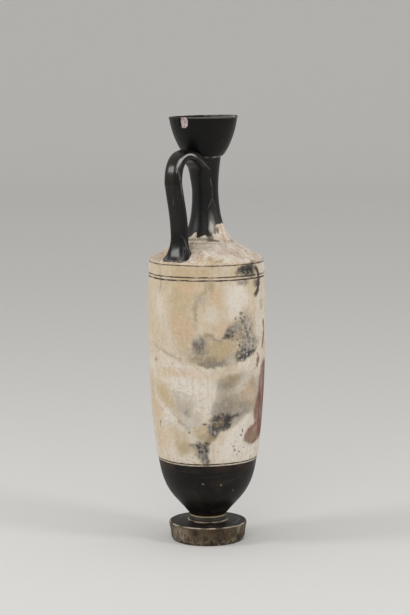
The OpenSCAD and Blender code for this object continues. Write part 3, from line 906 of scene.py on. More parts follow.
def coat_material(look):
    """The white coat: stains, crazing, pits, painted lines and the faded picture."""
    f = Finish("white_coat")
    flat, ragged = f.unrolled(WALL_R), f.unrolled(WALL_R, ragged=2.2 * MM)
    colour, cloud, mottle, fine = coat_surface(f, look)
    lumps = f.blotches(0.0036, 0.38, 0.56, detail=5, rough=0.75)
    colour = f.washes(colour, (look.ochre, f.noise(0.010, detail=4, stretch=(1, 1, 5)), 0.52, 0.74, 0.35))
    colour = dirty(f, look, stained(f, look, colour, ragged, lumps), flat, ragged)
    colour, paint = picture(f, look, colour, flat, ragged)
    craze = f.fade(f.cells(0.0062, "DISTANCE_TO_EDGE"), 0.035, 0.0) * f.fade(cloud, 0.42, 0.62)
    pits = f.fade(f.cells(0.0048), 0.13, 0.06) * f.blotches(0.012, 0.56, 0.66)
    hem = f.fade(f.height, BAND_Z + 0.5 * MM, BAND_Z + 0.1 * MM) * f.blotches(0.0040, 0.44, 0.58, detail=4)
    colour = f.mix(painted_lines(f), colour, look.brown)
    colour = f.mix(craze * 0.16, colour, look.brown)
    colour = f.mix(pits * 0.6, colour, look.soot)
    colour = f.mix(hem * 0.8, colour, look.bare)
    rough = 0.52 + mottle * 0.18 + lumps * 0.06
    relief = mottle * 0.5 + fine * 0.22 - craze * 0.35 - pits * 0.9 + paint * 0.1
    return f.done(colour, rough, f.bump(relief, 0.22 * MM, 0.7), specular=0.35)


def painted_lines(f):
    """Thin lines of brown slip, drawn round the wheel with a brush that ran dry here and there."""
    wave = (f.noise(0.045, detail=1) - 0.5) * (1.1 * MM)
    drag = f.blotches(0.0030, 0.30, 0.46, stretch=(3, 3, 0.3))
    load = f.noise(0.0040, detail=3, seed=7) * 1.6 + 0.25
    lines = []
    for height, half, strength in BAND_LINES:
        away = abs(f.height + wave - height * MM) / load
        lines.append(f.fade(away, (half + 0.16) * MM, (half - 0.16) * MM) * (drag * strength))
    return strongest(lines)


def picture(f, look, colour, flat, ragged):
    """A faded grave offering on the side away from the handle: a plain slab on two steps with ribbons tied
    round it, a cloth hung at its left and a wreath at its right. Gives the colour and where paint lies."""
    wear = f.blotches(0.0046, 0.34, 0.50, detail=5, rough=0.7)
    colour, cloth = hung_cloth(f, look, colour, ragged, wear)
    outline = f.hoop(ragged, (49, 165), (8.5, 14), 0.26, -6) * f.patch(flat, (58, 164), (7, 12), 0, 0.2)
    colour = f.mix(outline * (0.55 + wear * 0.4), colour, look.red)
    colour = f.specks(colour, look.red, ragged, RED_SPECKS, 0.4, 0.8)
    colour, slab = drawn_slab(f, look, colour, ragged, wear)
    wreath = f.hoop(ragged, (150, 158), (9, 10), 0.16)
    colour = f.mix(wreath * (0.2 + wear * 0.5), colour, look.thin_gloss)
    return colour, slab.at_least(cloth)


def hung_cloth(f, look, colour, ragged, wear):
    """The colour under the faded cloth and its creases, and where the cloth lies."""
    parts = []
    for shade, strength, at, half, tilt, soft in CLOTH_FOLDS:
        parts.append(f.patch(ragged, at, half, tilt, soft) * (0.55 + wear * 0.45))
        colour = f.mix(parts[-1] * strength, colour, getattr(look, shade))
    cloth = strongest(parts)
    for at, half in CLOTH_CREASES:
        colour = f.mix(f.hoop(ragged, at, half, 0.028) * cloth * 0.55, colour, look.brown)
    return colour, cloth


def drawn_slab(f, look, colour, ragged, wear):
    """The colour under the outlined slab and its ribbons, and where the outline lies."""
    x, z = abs(ragged.around - SLAB_AT * MM), ragged.level

    def block(half_w, low, high):
        """How far a place is from a block's outline, in metres, less than 0 inside it."""
        return (x - half_w * MM).at_least(abs(z - (low + high) / 2 * MM) - (high - low) / 2 * MM)

    drawn = strongest([f.fade(abs(block(*sizes)), 0.75 * MM, 0.3 * MM) for sizes in SLAB_BLOCKS])
    colour = f.mix(drawn * (wear * 0.75), colour, look.brown)
    for low, shade in RIBBONS:
        ribbon = f.fade(block(SLAB_BLOCKS[0][0] + 0.6, low, low + RIBBON_W), 0.5 * MM, -0.2 * MM)
        colour = f.mix(ribbon * (0.25 + wear * 0.5), colour, getattr(look, shade))
        for side, tilt in ((-1, -14), (1, 18)):
            tail = f.patch(ragged, (SLAB_AT + side * 16, low - 6), (1.1, 8.5), tilt, 0.3)
            colour = f.mix(tail * (0.2 + wear * 0.45), colour, getattr(look, shade))
    return colour, drawn


def bowl_material(look):
    """Black gloss of the bowl, browner near its top, with streaks from the wheel and reserved lines."""
    f = Finish("bowl_gloss")
    thin = f.blotches(0.020, 0.44, 0.72, 0.45, detail=4, stretch=(1, 1, 0.35))
    colour, roughness, height = gloss_surface(f, look, thin, scratches=(6, 6, 0.25), misfired=0.45)
    level = f.height + (f.noise(0.05, detail=1) - 0.5) * (0.8 * MM)
    burnt = f.fade(level, BAND_Z - 8 * MM, BAND_Z - 1 * MM, 0.90)
    burnt = burnt * f.blotches(0.011, 0.40, 0.56, detail=4, seed=3)
    colour = f.mix(burnt, colour, look.brown)
    reserved = f.fade(level, BAND_Z - 0.25 * MM, BAND_Z + 0.05 * MM)
    foot_line = f.fade(level, BOWL_Z + 0.95 * MM, BOWL_Z + 0.55 * MM)
    kept = f.blotches(0.014, 0.36, 0.56, detail=4, seed=9)
    lines = (reserved * (0.45 + kept * 0.5)).at_least(foot_line * 0.9)
    colour = f.mix(lines * 0.9, colour, f.mix(kept * reserved, look.ochre, look.cream))
    flat = f.unrolled(BOWL_R)
    colour = f.specks(colour, look.crust, flat, BOWL_PITS, 0.4, 0.45)
    for at, half, tilt in BOWL_SCRATCHES:
        colour = f.mix(f.patch(flat, at, half, tilt, 0.5, 0.10), colour, look.worn_gloss)
    roughness = roughness + lines * 0.3 + 0.04
    return f.done(colour, roughness, f.bump(height, 0.05 * MM, 0.6), specular=0.18)


def neck_gloss_edge(f, flat, ragged):
    """How far above the dripping lower edge of the neck's gloss a place is, in metres. The edge is lowest
    near the middle of the camera's side, with one more drip at its left and a notch at its right."""
    drips = (f.noise(0.0046, stretch=(1, 1, 1.6), detail=3) - 0.5) * (7 * MM)
    sag = f.fade(abs(flat.around - 14 * MM), 13 * MM, 6 * MM) * (9 * MM)
    above = ragged.level + drips - sag - 239.2 * MM
    above = above - f.patch(flat, (-6.6, 238.5), (1.1, 4.5), -8, 0.6) * (6 * MM)
    return above + f.patch(flat, (4.9, 245.5), (0.9, 5), 0, 0.5) * (5 * MM)


def neck_cracks(f, ragged):
    """Where the neck's cracks run."""
    lines = []
    for (x0, z0), (x1, z1), strength in CRACKS:
        half = (math.hypot(x1 - x0, z1 - z0) / 2 + 0.3, 0.27)
        tilt = math.degrees(math.atan2(z1 - z0, x1 - x0))
        lines.append(f.patch(ragged, ((x0 + x1) / 2, (z0 + z1) / 2), half, tilt, 0.45, strength))
    return strongest(lines)


def neck_material(look):
    """The neck: black gloss that ends in drips over the cream flare, cracks, and a rubbed grey patch."""
    f = Finish("neck_gloss")
    flat, ragged = f.unrolled(NECK_R), f.unrolled(NECK_R, ragged=1.0 * MM, lump=0.004)
    cream, cloud, mottle, fine = coat_surface(f, look)
    cream = f.mix(f.patch(ragged, (-3, 239), (7, 4), 0, 0.7, 0.45), cream, look.ochre)
    cream = f.mix(f.patch(ragged, (9, 243), (4.5, 6), 0, 0.7, 0.7), cream, look.peach)
    cream = smeared(f, look, cream, 1.0)
    colour, _, height = gloss_surface(f, look, misfired=0.4)
    above = neck_gloss_edge(f, flat, ragged)
    bloom = f.fade(above, 7 * MM, 0.5 * MM, 0.55) * f.fade(cloud, 0.35, 0.6)
    colour = f.mix(bloom, colour, look.thin_gloss)
    sheen = f.patch(ragged, (3.8, 248), (2.0, 8.5), 4, 0.6)
    sheen = sheen.at_least(f.patch(ragged, (8.5, 253), (1.6, 7), 6, 0.6, 0.2))
    colour = f.mix(sheen * 0.8, colour, look.worn_gloss)
    colour = f.mix(f.patch(ragged, (3.0, 246.4), (1.4, 4.4), 4, 0.5, 0.7), colour, look.silver)
    rubbed = f.patch(ragged, (4.3, 245), (2.1, 4), 0, 0.5, 0.2)
    black = (f.fade(above, -0.6 * MM, 0.7 * MM) - rubbed).at_least(0.0)
    colour = f.mix(black, cream, colour)
    for at, half, tilt, strength in NECK_SMUDGES:
        colour = f.mix(f.patch(ragged, at, half, tilt, 0.5, strength), colour, look.bare)
    cracks = neck_cracks(f, ragged)
    colour = f.mix(cracks, colour, look.worn_gloss)
    rough = 0.62 - black * 0.28 + cloud * 0.08 - sheen * 0.08
    relief = mottle * (0.5 - black * 0.35) + fine * 0.2 + height * 0.15 + black * 0.25 - cracks * 0.8
    return f.done(colour, rough, f.bump(relief, 0.16 * MM, 0.7), specular=0.24)


def mouth_material(look):
    """The mouth: deep black gloss, a worn lip, a bare chip under it, a painted highlight at its lower edge.
    """
    f = Finish("mouth_gloss")
    colour, roughness, height = gloss_surface(f, look, misfired=0.25)
    flat, ragged = f.unrolled(LIP_R), f.unrolled(LIP_R, ragged=0.5 * MM, lump=0.0025)
    lip_wear = f.fade(f.height, LIP_Z - 1.5 * MM, LIP_Z - 0.6 * MM) * f.blotches(0.0040, 0.28, 0.50, detail=4)
    lip_wear = lip_wear * f.fade(flat.around, -19 * MM, -11 * MM, 0.75)
    nick = f.blotches(0.0060, 0.60, 0.66, detail=3) * f.fade(f.height, LIP_Z - 1.1 * MM, LIP_Z - 0.4 * MM)
    # A painted highlight along the mouth's lower edge, in silver, broken into patches by noise.
    base_highlight = f.fade(f.height, MOUTH_Z + 1.3 * MM, MOUTH_Z + 0.5 * MM)
    base_highlight = base_highlight * f.blotches(0.005, 0.42, 0.60, detail=3)
    colour = f.mix(lip_wear, colour, look.worn_gloss)
    colour = f.mix(nick * 0.6, colour, look.silver)
    colour = f.mix(base_highlight * 0.6, colour, look.silver)
    up = ragged.level - CHIP_AT[1] * MM
    aside = (ragged.around + up * CHIP_LEAN - CHIP_AT[0] * MM) / (CHIP_HALF[0] * MM)
    up = up / (CHIP_HALF[1] * MM)
    chip = f.fade(abs(aside).maths("POWER", 3) + abs(up).maths("POWER", 3), 1.25, 0.80)
    raw = f.mix(f.blotches(0.0018, 0.38, 0.62, detail=4), look.chip_dark, look.chip_pale)
    colour = f.mix(chip, colour, raw)
    roughness = roughness + lip_wear * 0.2 + chip * 0.4 + nick * 0.2
    return f.done(colour, roughness, f.bump(height + chip * 0.6, 0.04 * MM, 0.6), specular=0.15)


def handle_material(look):
    """The strap: black gloss, drawn-out finger marks, a painted highlight along its side, a rubbed root."""
    f = Finish("handle_gloss")
    colour, roughness, height = gloss_surface(f, look, scratches=(1, 1, 9), misfired=0.4)
    out, side = f.dot(f.place, (-1, 0, 0)), f.dot(f.place, (0, 1, 0))
    profile = f.sheet(out, f.height)
    crown = f.rise(268, 296) * f.fade(out, 22 * MM, 30 * MM) * f.fade(side, -5 * MM, -2 * MM, 0.7)
    colour = f.mix(crown, colour, look.thin_gloss)
    bloom = f.rise(231, 223.5) * f.blotches(0.0060, 0.36, 0.62, detail=4)
    colour = f.mix(bloom * 0.5, colour, look.worn_gloss)
    hem = f.rise(224.5, 222.5) * f.blotches(0.0045, 0.42, 0.58, detail=3)
    colour = f.mix(hem * 0.5, colour, look.crust)
    # Painted highlights along the ridge of the strap's -Y side: streaks in worn gloss and an arc over the
    # crown in silver, broken up by noise.
    breaks = f.blotches(0.0050, 0.26, 0.44, detail=3)
    flank = f.fade(side, -3.6 * MM, -5.2 * MM)
    for at, half, tilt, strength in RIDGE_HIGHLIGHT_STREAKS:
        streak = f.patch(profile, at, half, tilt, 0.5, strength) * flank * breaks
        colour = f.mix(streak, colour, look.worn_gloss)
    arc = f.hoop(profile, *RIDGE_HIGHLIGHT_ARC) * flank * f.rise(290, 295) * f.fade(out, 19 * MM, 25 * MM)
    colour = f.mix(arc * (0.34 + breaks * 0.34), colour, look.silver)
    upper_end = f.fade(out, 18 * MM, 11 * MM) * f.rise(250, 260)
    roughness = roughness * (0.46 + upper_end * 0.54) + bloom * 0.12 + arc * 0.1 + 0.02
    return f.done(colour, roughness, f.bump(height, 0.05 * MM, 0.6), specular=0.26)


def foot_side_colour(f, look, cloud, lime):
    """Colour of the foot's bare side: brown and olive mottling, paler patches and a lime crust low down."""
    side = f.mix(f.fade(cloud, 0.42, 0.60), look.bare, look.rust)
    side = f.washes(side, (look.thin_gloss, f.noise(0.0075, detail=3, stretch=(1, 1, 1.8)), 0.50, 0.64, 0.8))
    flat = f.unrolled(FOOT_SIDE_R, ragged=3.0 * MM)
    pale = f.patch(flat, (-25, 8), (9, 6), 0, 0.7).at_least(f.patch(flat, (30, 12), (6, 4), 0, 0.6, 0.8))
    side = f.mix(pale * 0.6, side, look.crust)
    streaks = f.noise(0.0045, detail=4, seed=5, stretch=(1, 1, 2))
    side = f.washes(side, (look.brown, streaks, 0.50, 0.62, 0.75))
    side = f.mix(lime * (f.rise(7, 1.5, 0.34) + 0.08), side, look.crust)
    # Darker towards the bottom edge, in patches.
    dark = f.rise(2.6, 0.8, 0.6) * f.fade(cloud, 0.35, 0.55)
    return f.mix(dark, side, look.thin_gloss)


def foot_top_colour(f, look, cloud, radius):
    """Colour of the foot's black top, with a painted highlight arc and the reserved line round the stem."""
    black, _, _ = gloss_surface(f, look, f.fade(cloud, 0.44, 0.60, 0.4), misfired=0.4)
    black = f.washes(black, (look.worn_gloss, f.noise(0.0055, detail=4), 0.56, 0.70, 0.12))
    # A painted highlight arc across the black top, in the crust's pale colour, broken up by noise.
    arc = f.fade(abs(radius - 24.0 * MM), 0.7 * MM, 0.2 * MM) * f.blotches(0.018, 0.52, 0.62, detail=2)
    black = f.mix(arc * 0.35, black, look.crust)
    line = f.fade(radius, FILLET_R + 1.3 * MM, FILLET_R + 0.6 * MM) * f.blotches(0.012, 0.36, 0.52, detail=3)
    return f.mix(line * 0.75, black, look.cream)


def foot_material(look):
    """The foot: bare clay at the side, black gloss on top and a cream line along the edge."""
    f = Finish("foot_clay")
    level_place = f.node("ShaderNodeVectorMath", {"operation": "MULTIPLY"}, {0: f.place, 1: (1, 1, 0)})
    radius = f.node("ShaderNodeVectorMath", {"operation": "LENGTH"}, {0: level_place}, output="Value")
    cloud, fine = f.noise(0.010, detail=5, rough=0.6), f.noise(0.0012, detail=3)
    lime = f.blotches(0.0034, 0.48, 0.58, detail=5, rough=0.7)
    up = f.fade(f.height, FOOT_TOP_Z - 1.75 * MM, FOOT_TOP_Z - 1.35 * MM)
    top = up * f.fade(radius, FOOT_R - 0.55 * MM, FOOT_R - 1.05 * MM)
    edge = up * f.fade(radius, FOOT_R - 1.0 * MM, FOOT_R - 0.7 * MM)
    edge = edge * f.blotches(0.0090, 0.32, 0.56, detail=4)
    colour = f.mix(top, foot_side_colour(f, look, cloud, lime), foot_top_colour(f, look, cloud, radius))
    colour = f.mix(edge * 0.75, colour, look.cream)
    rough = 0.72 - top * 0.30 + fine * 0.1
    relief = cloud * 0.4 + fine * 0.3 + lime * (0.5 - top * 0.5)
    return f.done(colour, rough, f.bump(relief, 0.2 * MM, 0.75), specular=0.26)


def ring_material(look):
    """The clay ring over the foot: dark red-brown gloss between two reserved lines."""
    f = Finish("ring_gloss")
    colour, roughness, height = gloss_surface(f, look, f.blotches(0.012, 0.25, 0.6, 0.85, detail=4))
    share = (f.height - FILLET_Z) / (BOWL_Z - FILLET_Z)
    low = f.fade(share, 0.17, 0.08) * f.blotches(0.010, 0.34, 0.50, detail=3)
    lines = low.at_least(f.fade(share, 0.84, 0.93))
    colour = f.mix(lines * 0.85, colour, look.cream)
    return f.done(colour, roughness + lines * 0.25, f.bump(height, 0.05 * MM, 0.6), specular=0.35)


def seam_material(look):
    """The smoothed seam between shoulder and neck, under the same coat, with dirt caught in it."""
    f = Finish("neck_seam")
    colour, _, mottle, fine = coat_surface(f, look)
    colour = smeared(f, look, f.mix(0.2, colour, look.ochre), 0.7)
    colour = f.washes(colour, (look.umber, f.noise(0.0060, detail=4), 0.48, 0.62, 0.3))
    return f.done(colour, 0.6 + mottle * 0.1, f.bump(mottle * 0.5 + fine * 0.2, 0.2 * MM, 0.7), specular=0.35)


def slip_material(look, name, over):
    """A seam of luting slip: dark, and of the shade over where it is rubbed."""
    f = Finish(name)
    worn = f.blotches(0.0050, 0.36, 0.62, detail=4)
    colour = f.mix(worn, look.thin_gloss, over)
    return f.done(colour, 0.6 + worn * 0.15, f.bump(f.noise(0.0008, detail=3), 0.1 * MM, 0.6), specular=0.35)


# Pieces


def settings():
    """The user's sizes, wear and colours."""
    scene = bpy.context.scene
    return scene.lekythos_shape, scene.lekythos_handle, scene.lekythos_wear, scene.lekythos_finish


def around_view(turn):
    """The way round from the line that faces the camera, from -pi to pi."""
    return (turn - VIEW_ANGLE + math.pi) % (2 * math.pi) - math.pi


def beaded(rim, amount, seed):
    """Relief of a smeared edge: uneven near its rim, smooth inside."""

    def relief(turn, radius, height, place):
        return ease(radius, *rim) * amount * grain(place, 3 * MM, seed)

    return relief


class LEKYTHOS_OT_foot(Operator):
    """Turn the disc foot and the clay ring above it"""

    bl_idname = "lekythos.foot"
    bl_label = "Foot and ring"

    def execute(self, context):
        s, _, wear, look = settings()
        edge_z = FOOT_TOP_Z - s.foot_rise

        def relief(turn, radius, height, place):
            side = ease(radius, FOOT_R - 6 * MM, FOOT_R - 2 * MM) * ease(height, 0.3 * MM, 1.5 * MM)
            crust = np.maximum(grain(place, 2.6 * MM, 3) + 0.6 * grain(place, 1.1 * MM, 4) - 0.15, 0)
            chips = ease(grain(place, 5.5 * MM, 5), 0.42, 0.62)
            chips = chips * ease(radius, FOOT_R - 2.5 * MM, FOOT_R - 1 * MM)
            ends = ease(np.abs(height - 0.6 * edge_z), 0.30 * edge_z, 0.45 * edge_z)
            return side * (wear.crust * crust - wear.foot_chips * chips * ends) * 0.9

        foot = shell("disc_foot", even(foot_outline(s), 0.5 * MM), 420, relief)
        add_piece("disc_foot", foot, ["foot"], foot_material(look))
        uneven = beaded((STEM_R, STEM_R + MM), 0.08 * MM, 8)
        ring = shell("clay_ring", even(ring_outline(s), 0.25 * MM), 300, uneven)
        add_piece("clay_ring", ring, ["fillet_ring"], ring_material(look))
        return {"FINISHED"}


class LEKYTHOS_OT_body(Operator):
    """Throw the hollow body and lay the white coat on it"""

    bl_idname = "lekythos.body"
    bl_label = "Body and coat"

    def execute(self, context):
        s, _, wear, look = settings()
        upper = join(wall_side(s), shoulder_side(s))
        clay = moved(upper, s.coat_t)
        inner = even(moved(join(bowl_side(s), upper[1:]), s.wall_t), 3 * MM)
        inner = inner[(inner[:, 1] > BOWL_Z) & (inner[:, 1] < SEAT_Z - s.wall_t)]
        stem_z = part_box("body")[0].z
        skin = join(
            [[0, stem_z], [STEM_R, stem_z], [STEM_R, BOWL_Z]],
            even(bowl_side(s), 0.6 * MM),
            even(clay, 3 * MM),
            [[s.hole_r, clay[-1, 1]], [s.hole_r, inner[-1, 1]]],
            inner[::-1],
            [[0, inner[0, 1]]],
        )

        def stray(turn, radius, height, place):
            ridge = rings(height, wear.ridges, 2.2 * MM, 21) + rings(height, wear.ridges * 1.6, 9 * MM, 25)
            fade = ease(height, BOWL_Z, BOWL_Z + 8 * MM) * ease(height, SEAT_Z, SEAT_Z - 10 * MM)
            lump = 0.04 * MM * grain(place, 7 * MM, 13)
            return fade * (wander(turn, height, wear.wobble, 11) + ridge + lump)

        def coat_relief(turn, radius, height, place):
            flake = ease(grain(place, 4.2 * MM, 31) + 0.5 * grain(place, 1.7 * MM, 32), 0.62, 0.80)
            low = ease(height, BAND_Z + 5 * MM, BAND_Z + 1 * MM)
            lump = 0.03 * MM * grain(place, 3.1 * MM, 33) + 0.05 * MM * grain(place, 12 * MM, 34)
            return stray(turn, radius, height, place) + lump - 0.12 * MM * flake * (0.35 + 0.65 * low)

        body = shell("thrown_body", skin, 360, stray)
        add_piece("thrown_body", body, ["body"], bowl_material(look))
        coat = shell("white_coat", join(even(upper, 1.0 * MM), even(clay, 3 * MM)[::-1]), 370, coat_relief)
        add_piece("white_coat", coat, ["white_ground"], coat_material(look))
        return {"FINISHED"}


class LEKYTHOS_OT_neck(Operator):
    """Throw the leaning neck and the seams of slip at both of its ends"""

    bl_idname = "lekythos.neck"
    bl_label = "Neck and seams"

    def execute(self, context):
        s, _, wear, look = settings()
        skin = join(even(neck_side(s), 0.4 * MM), even([[BORE_R, NECK_END_Z], [BORE_R, NECK_Z]], 4 * MM))

        def relief(turn, radius, height, place):
            outside = ease(radius, BORE_R + MM, BORE_R + 2 * MM)
            ridge = rings(height, wear.ridges, 1.6 * MM, 41) + rings(height, wear.ridges * 1.5, 6 * MM, 42)
            crack = self.cracks(around_view(turn) * (NECK_R / MM), height / MM, place)
            return outside * (wander(turn, height, wear.wobble * 0.5, 43) + ridge - wear.crack_d * crack)

        neck = shell("thrown_neck", skin, 300, relief, LEANING)
        add_piece("thrown_neck", neck, ["neck"], neck_material(look))
        hole_r, throat_r = s.hole_r, BORE_R + s.throat_clear
        shoulder_seam = [
            [hole_r, SEAT_Z], [NECK_BASE_R + 1.5 * MM, SEAT_Z - 0.45 * MM],
            [NECK_BASE_R + 0.1 * MM, NECK_Z - 0.1 * MM], [NECK_BASE_R - 0.9 * MM, NECK_Z + 0.45 * MM],
            [hole_r, NECK_Z],
        ]
        upper_seam = [
            [throat_r, NECK_END_Z], [NECK_TOP_R - 0.1 * MM, NECK_END_Z],
            [NECK_TOP_R + 0.3 * MM, (NECK_END_Z + MOUTH_Z) / 2], [NECK_TOP_R, MOUTH_Z],
            [throat_r, MOUTH_Z],
        ]
        self.lay_seam("neck_seam", "neck_lute", shoulder_seam, UPRIGHT, seam_material(look))
        # The mouth seam's rubbed patches of worn gloss are wear and a painted highlight along the joint.
        dark = slip_material(look, "mouth_seam", look.worn_gloss)
        self.lay_seam("mouth_seam", "mouth_lute", upper_seam, LEANING, dark)
        for node in ("foot_lute", "handle_upper_lute", "handle_lower_lute"):
            mesh = frame["nodes"][node].data
            mesh.materials.clear()
            mesh.materials.append(slip_material(look, node + "_slip", look.bare))
        return {"FINISHED"}

    def cracks(self, u, z, place):
        """1 along the middle of each crack, 0 away from them; u and z are millimetres round and up."""
        deep = 0 * u
        for (x0, z0), (x1, z1), _ in CRACKS:
            w, h = x1 - x0, z1 - z0
            t = np.clip(((u - x0) * w + (z - z0) * h) / (w**2 + h**2), 0, 1)
            away = np.hypot(u - x0 - t * w, z - z0 - t * h) + 0.25 * grain(place, 1.2 * MM, 44)
            deep = np.maximum(deep, ease(away, 0.55, 0.1))
        return deep

    def lay_seam(self, name, node, outline, axis, material):
        """Adds a ring of luting slip whose rim stands a little out of the joint."""
        rim = max(radius for radius, _ in outline)
        mesh = shell(name, even(outline, 0.22 * MM), 240, beaded((rim - 2 * MM, rim), 0.12 * MM, 47), axis)
        add_piece(name, mesh, [node], material)


class LEKYTHOS_OT_mouth(Operator):
    """Throw the bell-shaped mouth, with its worn lip and the chip under it"""

    bl_idname = "lekythos.mouth"
    bl_label = "Mouth"

    def execute(self, context):
        s, _, wear, look = settings()
        lip = np.array([[LIP_R - 0.15 * s.lip_w, LIP_Z], [LIP_R - s.lip_w, LIP_Z]])
        skin = join(
            even(mouth_outside(s), 0.42 * MM),
            even(lip, 0.5 * MM)[1:-1],
            even(mouth_inside(s), 0.9 * MM),
        )

        def relief(turn, radius, height, place):
            outside = ease(radius, BORE_R + 3 * MM, BORE_R + 5 * MM)
            ridge = rings(height, wear.ridges * 0.7, 2.0 * MM, 51)
            u, z = around_view(turn) * LIP_R / MM, height / MM
            up = z - CHIP_AT[1]
            aside, up = (u - CHIP_AT[0] + CHIP_LEAN * up) / CHIP_HALF[0], up / CHIP_HALF[1]
            far = (np.abs(aside) ** 3 + np.abs(up) ** 3) ** (1 / 3) + 0.10 * grain(place, 1.6 * MM, 52)
            shell_side = ease(radius, LIP_R - 3.2 * MM, LIP_R - 2.4 * MM)
            chip = ease(far, 1.10, 0.86) * (1 + 0.25 * grain(place, 1.3 * MM, 53)) * shell_side
            rim = ease(height, LIP_Z - 1.2 * MM, LIP_Z - 0.5 * MM)
            nicks = ease(grain(place, 3.6 * MM, 54), 0.40, 0.62) * rim
            smooth = outside * (wander(turn, height, wear.wobble * 0.5, 55) + ridge)
            return smooth - wear.chip_d * chip - wear.lip_nicks * nicks

        mouth = shell("thrown_mouth", skin, 420, relief, LEANING)
        add_piece("thrown_mouth", mouth, ["mouth"], mouth_material(look))
        return {"FINISHED"}


def strap_run(s, h):
    """The strap's middle line with its section at each point, as (distance from the axis, height, width,
    thickness) from its tail on the neck to its root on the shoulder. Also gives its stops by name."""
    edge = s.edge_round
    crown_z, root_z = MOUTH_Z + h.crown_rise, s.wall_top_z - edge
    reach_r = s.wall_top_r - h.inset
    root_r, lower_r = s.wall_top_r - h.root_t / 2 - 0.38 * edge, reach_r - h.draw
    w, t, end_w, drop = h.strap_w, h.strap_t, h.neck_end_w, crown_z - root_z
    stops = {
        "tail": (0.66 * s.waist_r, crown_z - 0.45 * drop, 0.58 * end_w, 0.7 * t),
        "neck": (0.87 * s.waist_r, crown_z - 0.205 * drop, 0.76 * end_w, 0.93 * t),
        "crown": (h.crown_reach, crown_z, w, t),
        "bend": (reach_r, crown_z - 0.233 * drop, w, t),
        "low": (lower_r, crown_z - 0.717 * drop, w, t),
        "root": (root_r, root_z, h.root_w, h.root_t),
    }
    pulls = (
        ((0.72 * s.waist_r, crown_z - 0.36 * drop, 0.62 * end_w, 0.78 * t),
         (0.82 * s.waist_r, crown_z - 0.26 * drop, 0.60 * end_w, 0.85 * t)),
        ((s.waist_r, crown_z - 0.103 * drop, 0.97 * end_w, 1.05 * t),
         (0.66 * h.crown_reach, crown_z, 0.92 * w, t)),
        ((h.crown_reach + 0.7 * (reach_r - h.crown_reach), crown_z, w, t),
         (reach_r, crown_z - 0.103 * drop, w, t)),
        ((reach_r, crown_z - 0.28 * drop, w, t), (lower_r, crown_z - 0.506 * drop, w, t)),
        ((lower_r, crown_z - 0.797 * drop, w, t),
         (0.973 * root_r, root_z + 0.125 * drop, 0.69 * h.root_w, 0.86 * h.root_t)),
    )
    points = list(stops.values())
    spans = [bend(start, *pull, end) for start, pull, end in zip(points, pulls, points[1:])]
    return even(join(points[0], *spans), 0.6 * MM), stops


# The strap's section: its sides, its corners from 1 for round to 0 for square, and its channel's place and
# width across it as shares of half its width
STRAP_SIDES, STRAP_CORNERS = 96, 0.62
CHANNEL_AT, CHANNEL_W = -0.66, 0.11

# Heights between which the strap's upper end thins to a skin on the neck, and where its tail sinks in
THIN_Z, SKIN_Z, SINK_Z = 291 * MM, 272 * MM, 278 * MM


def turned(points, axis):
    """The points, along their last dimension, moved by a matrix."""
    moves = np.array(axis)
    return points @ moves[:3, :3].T + moves[:3, 3]


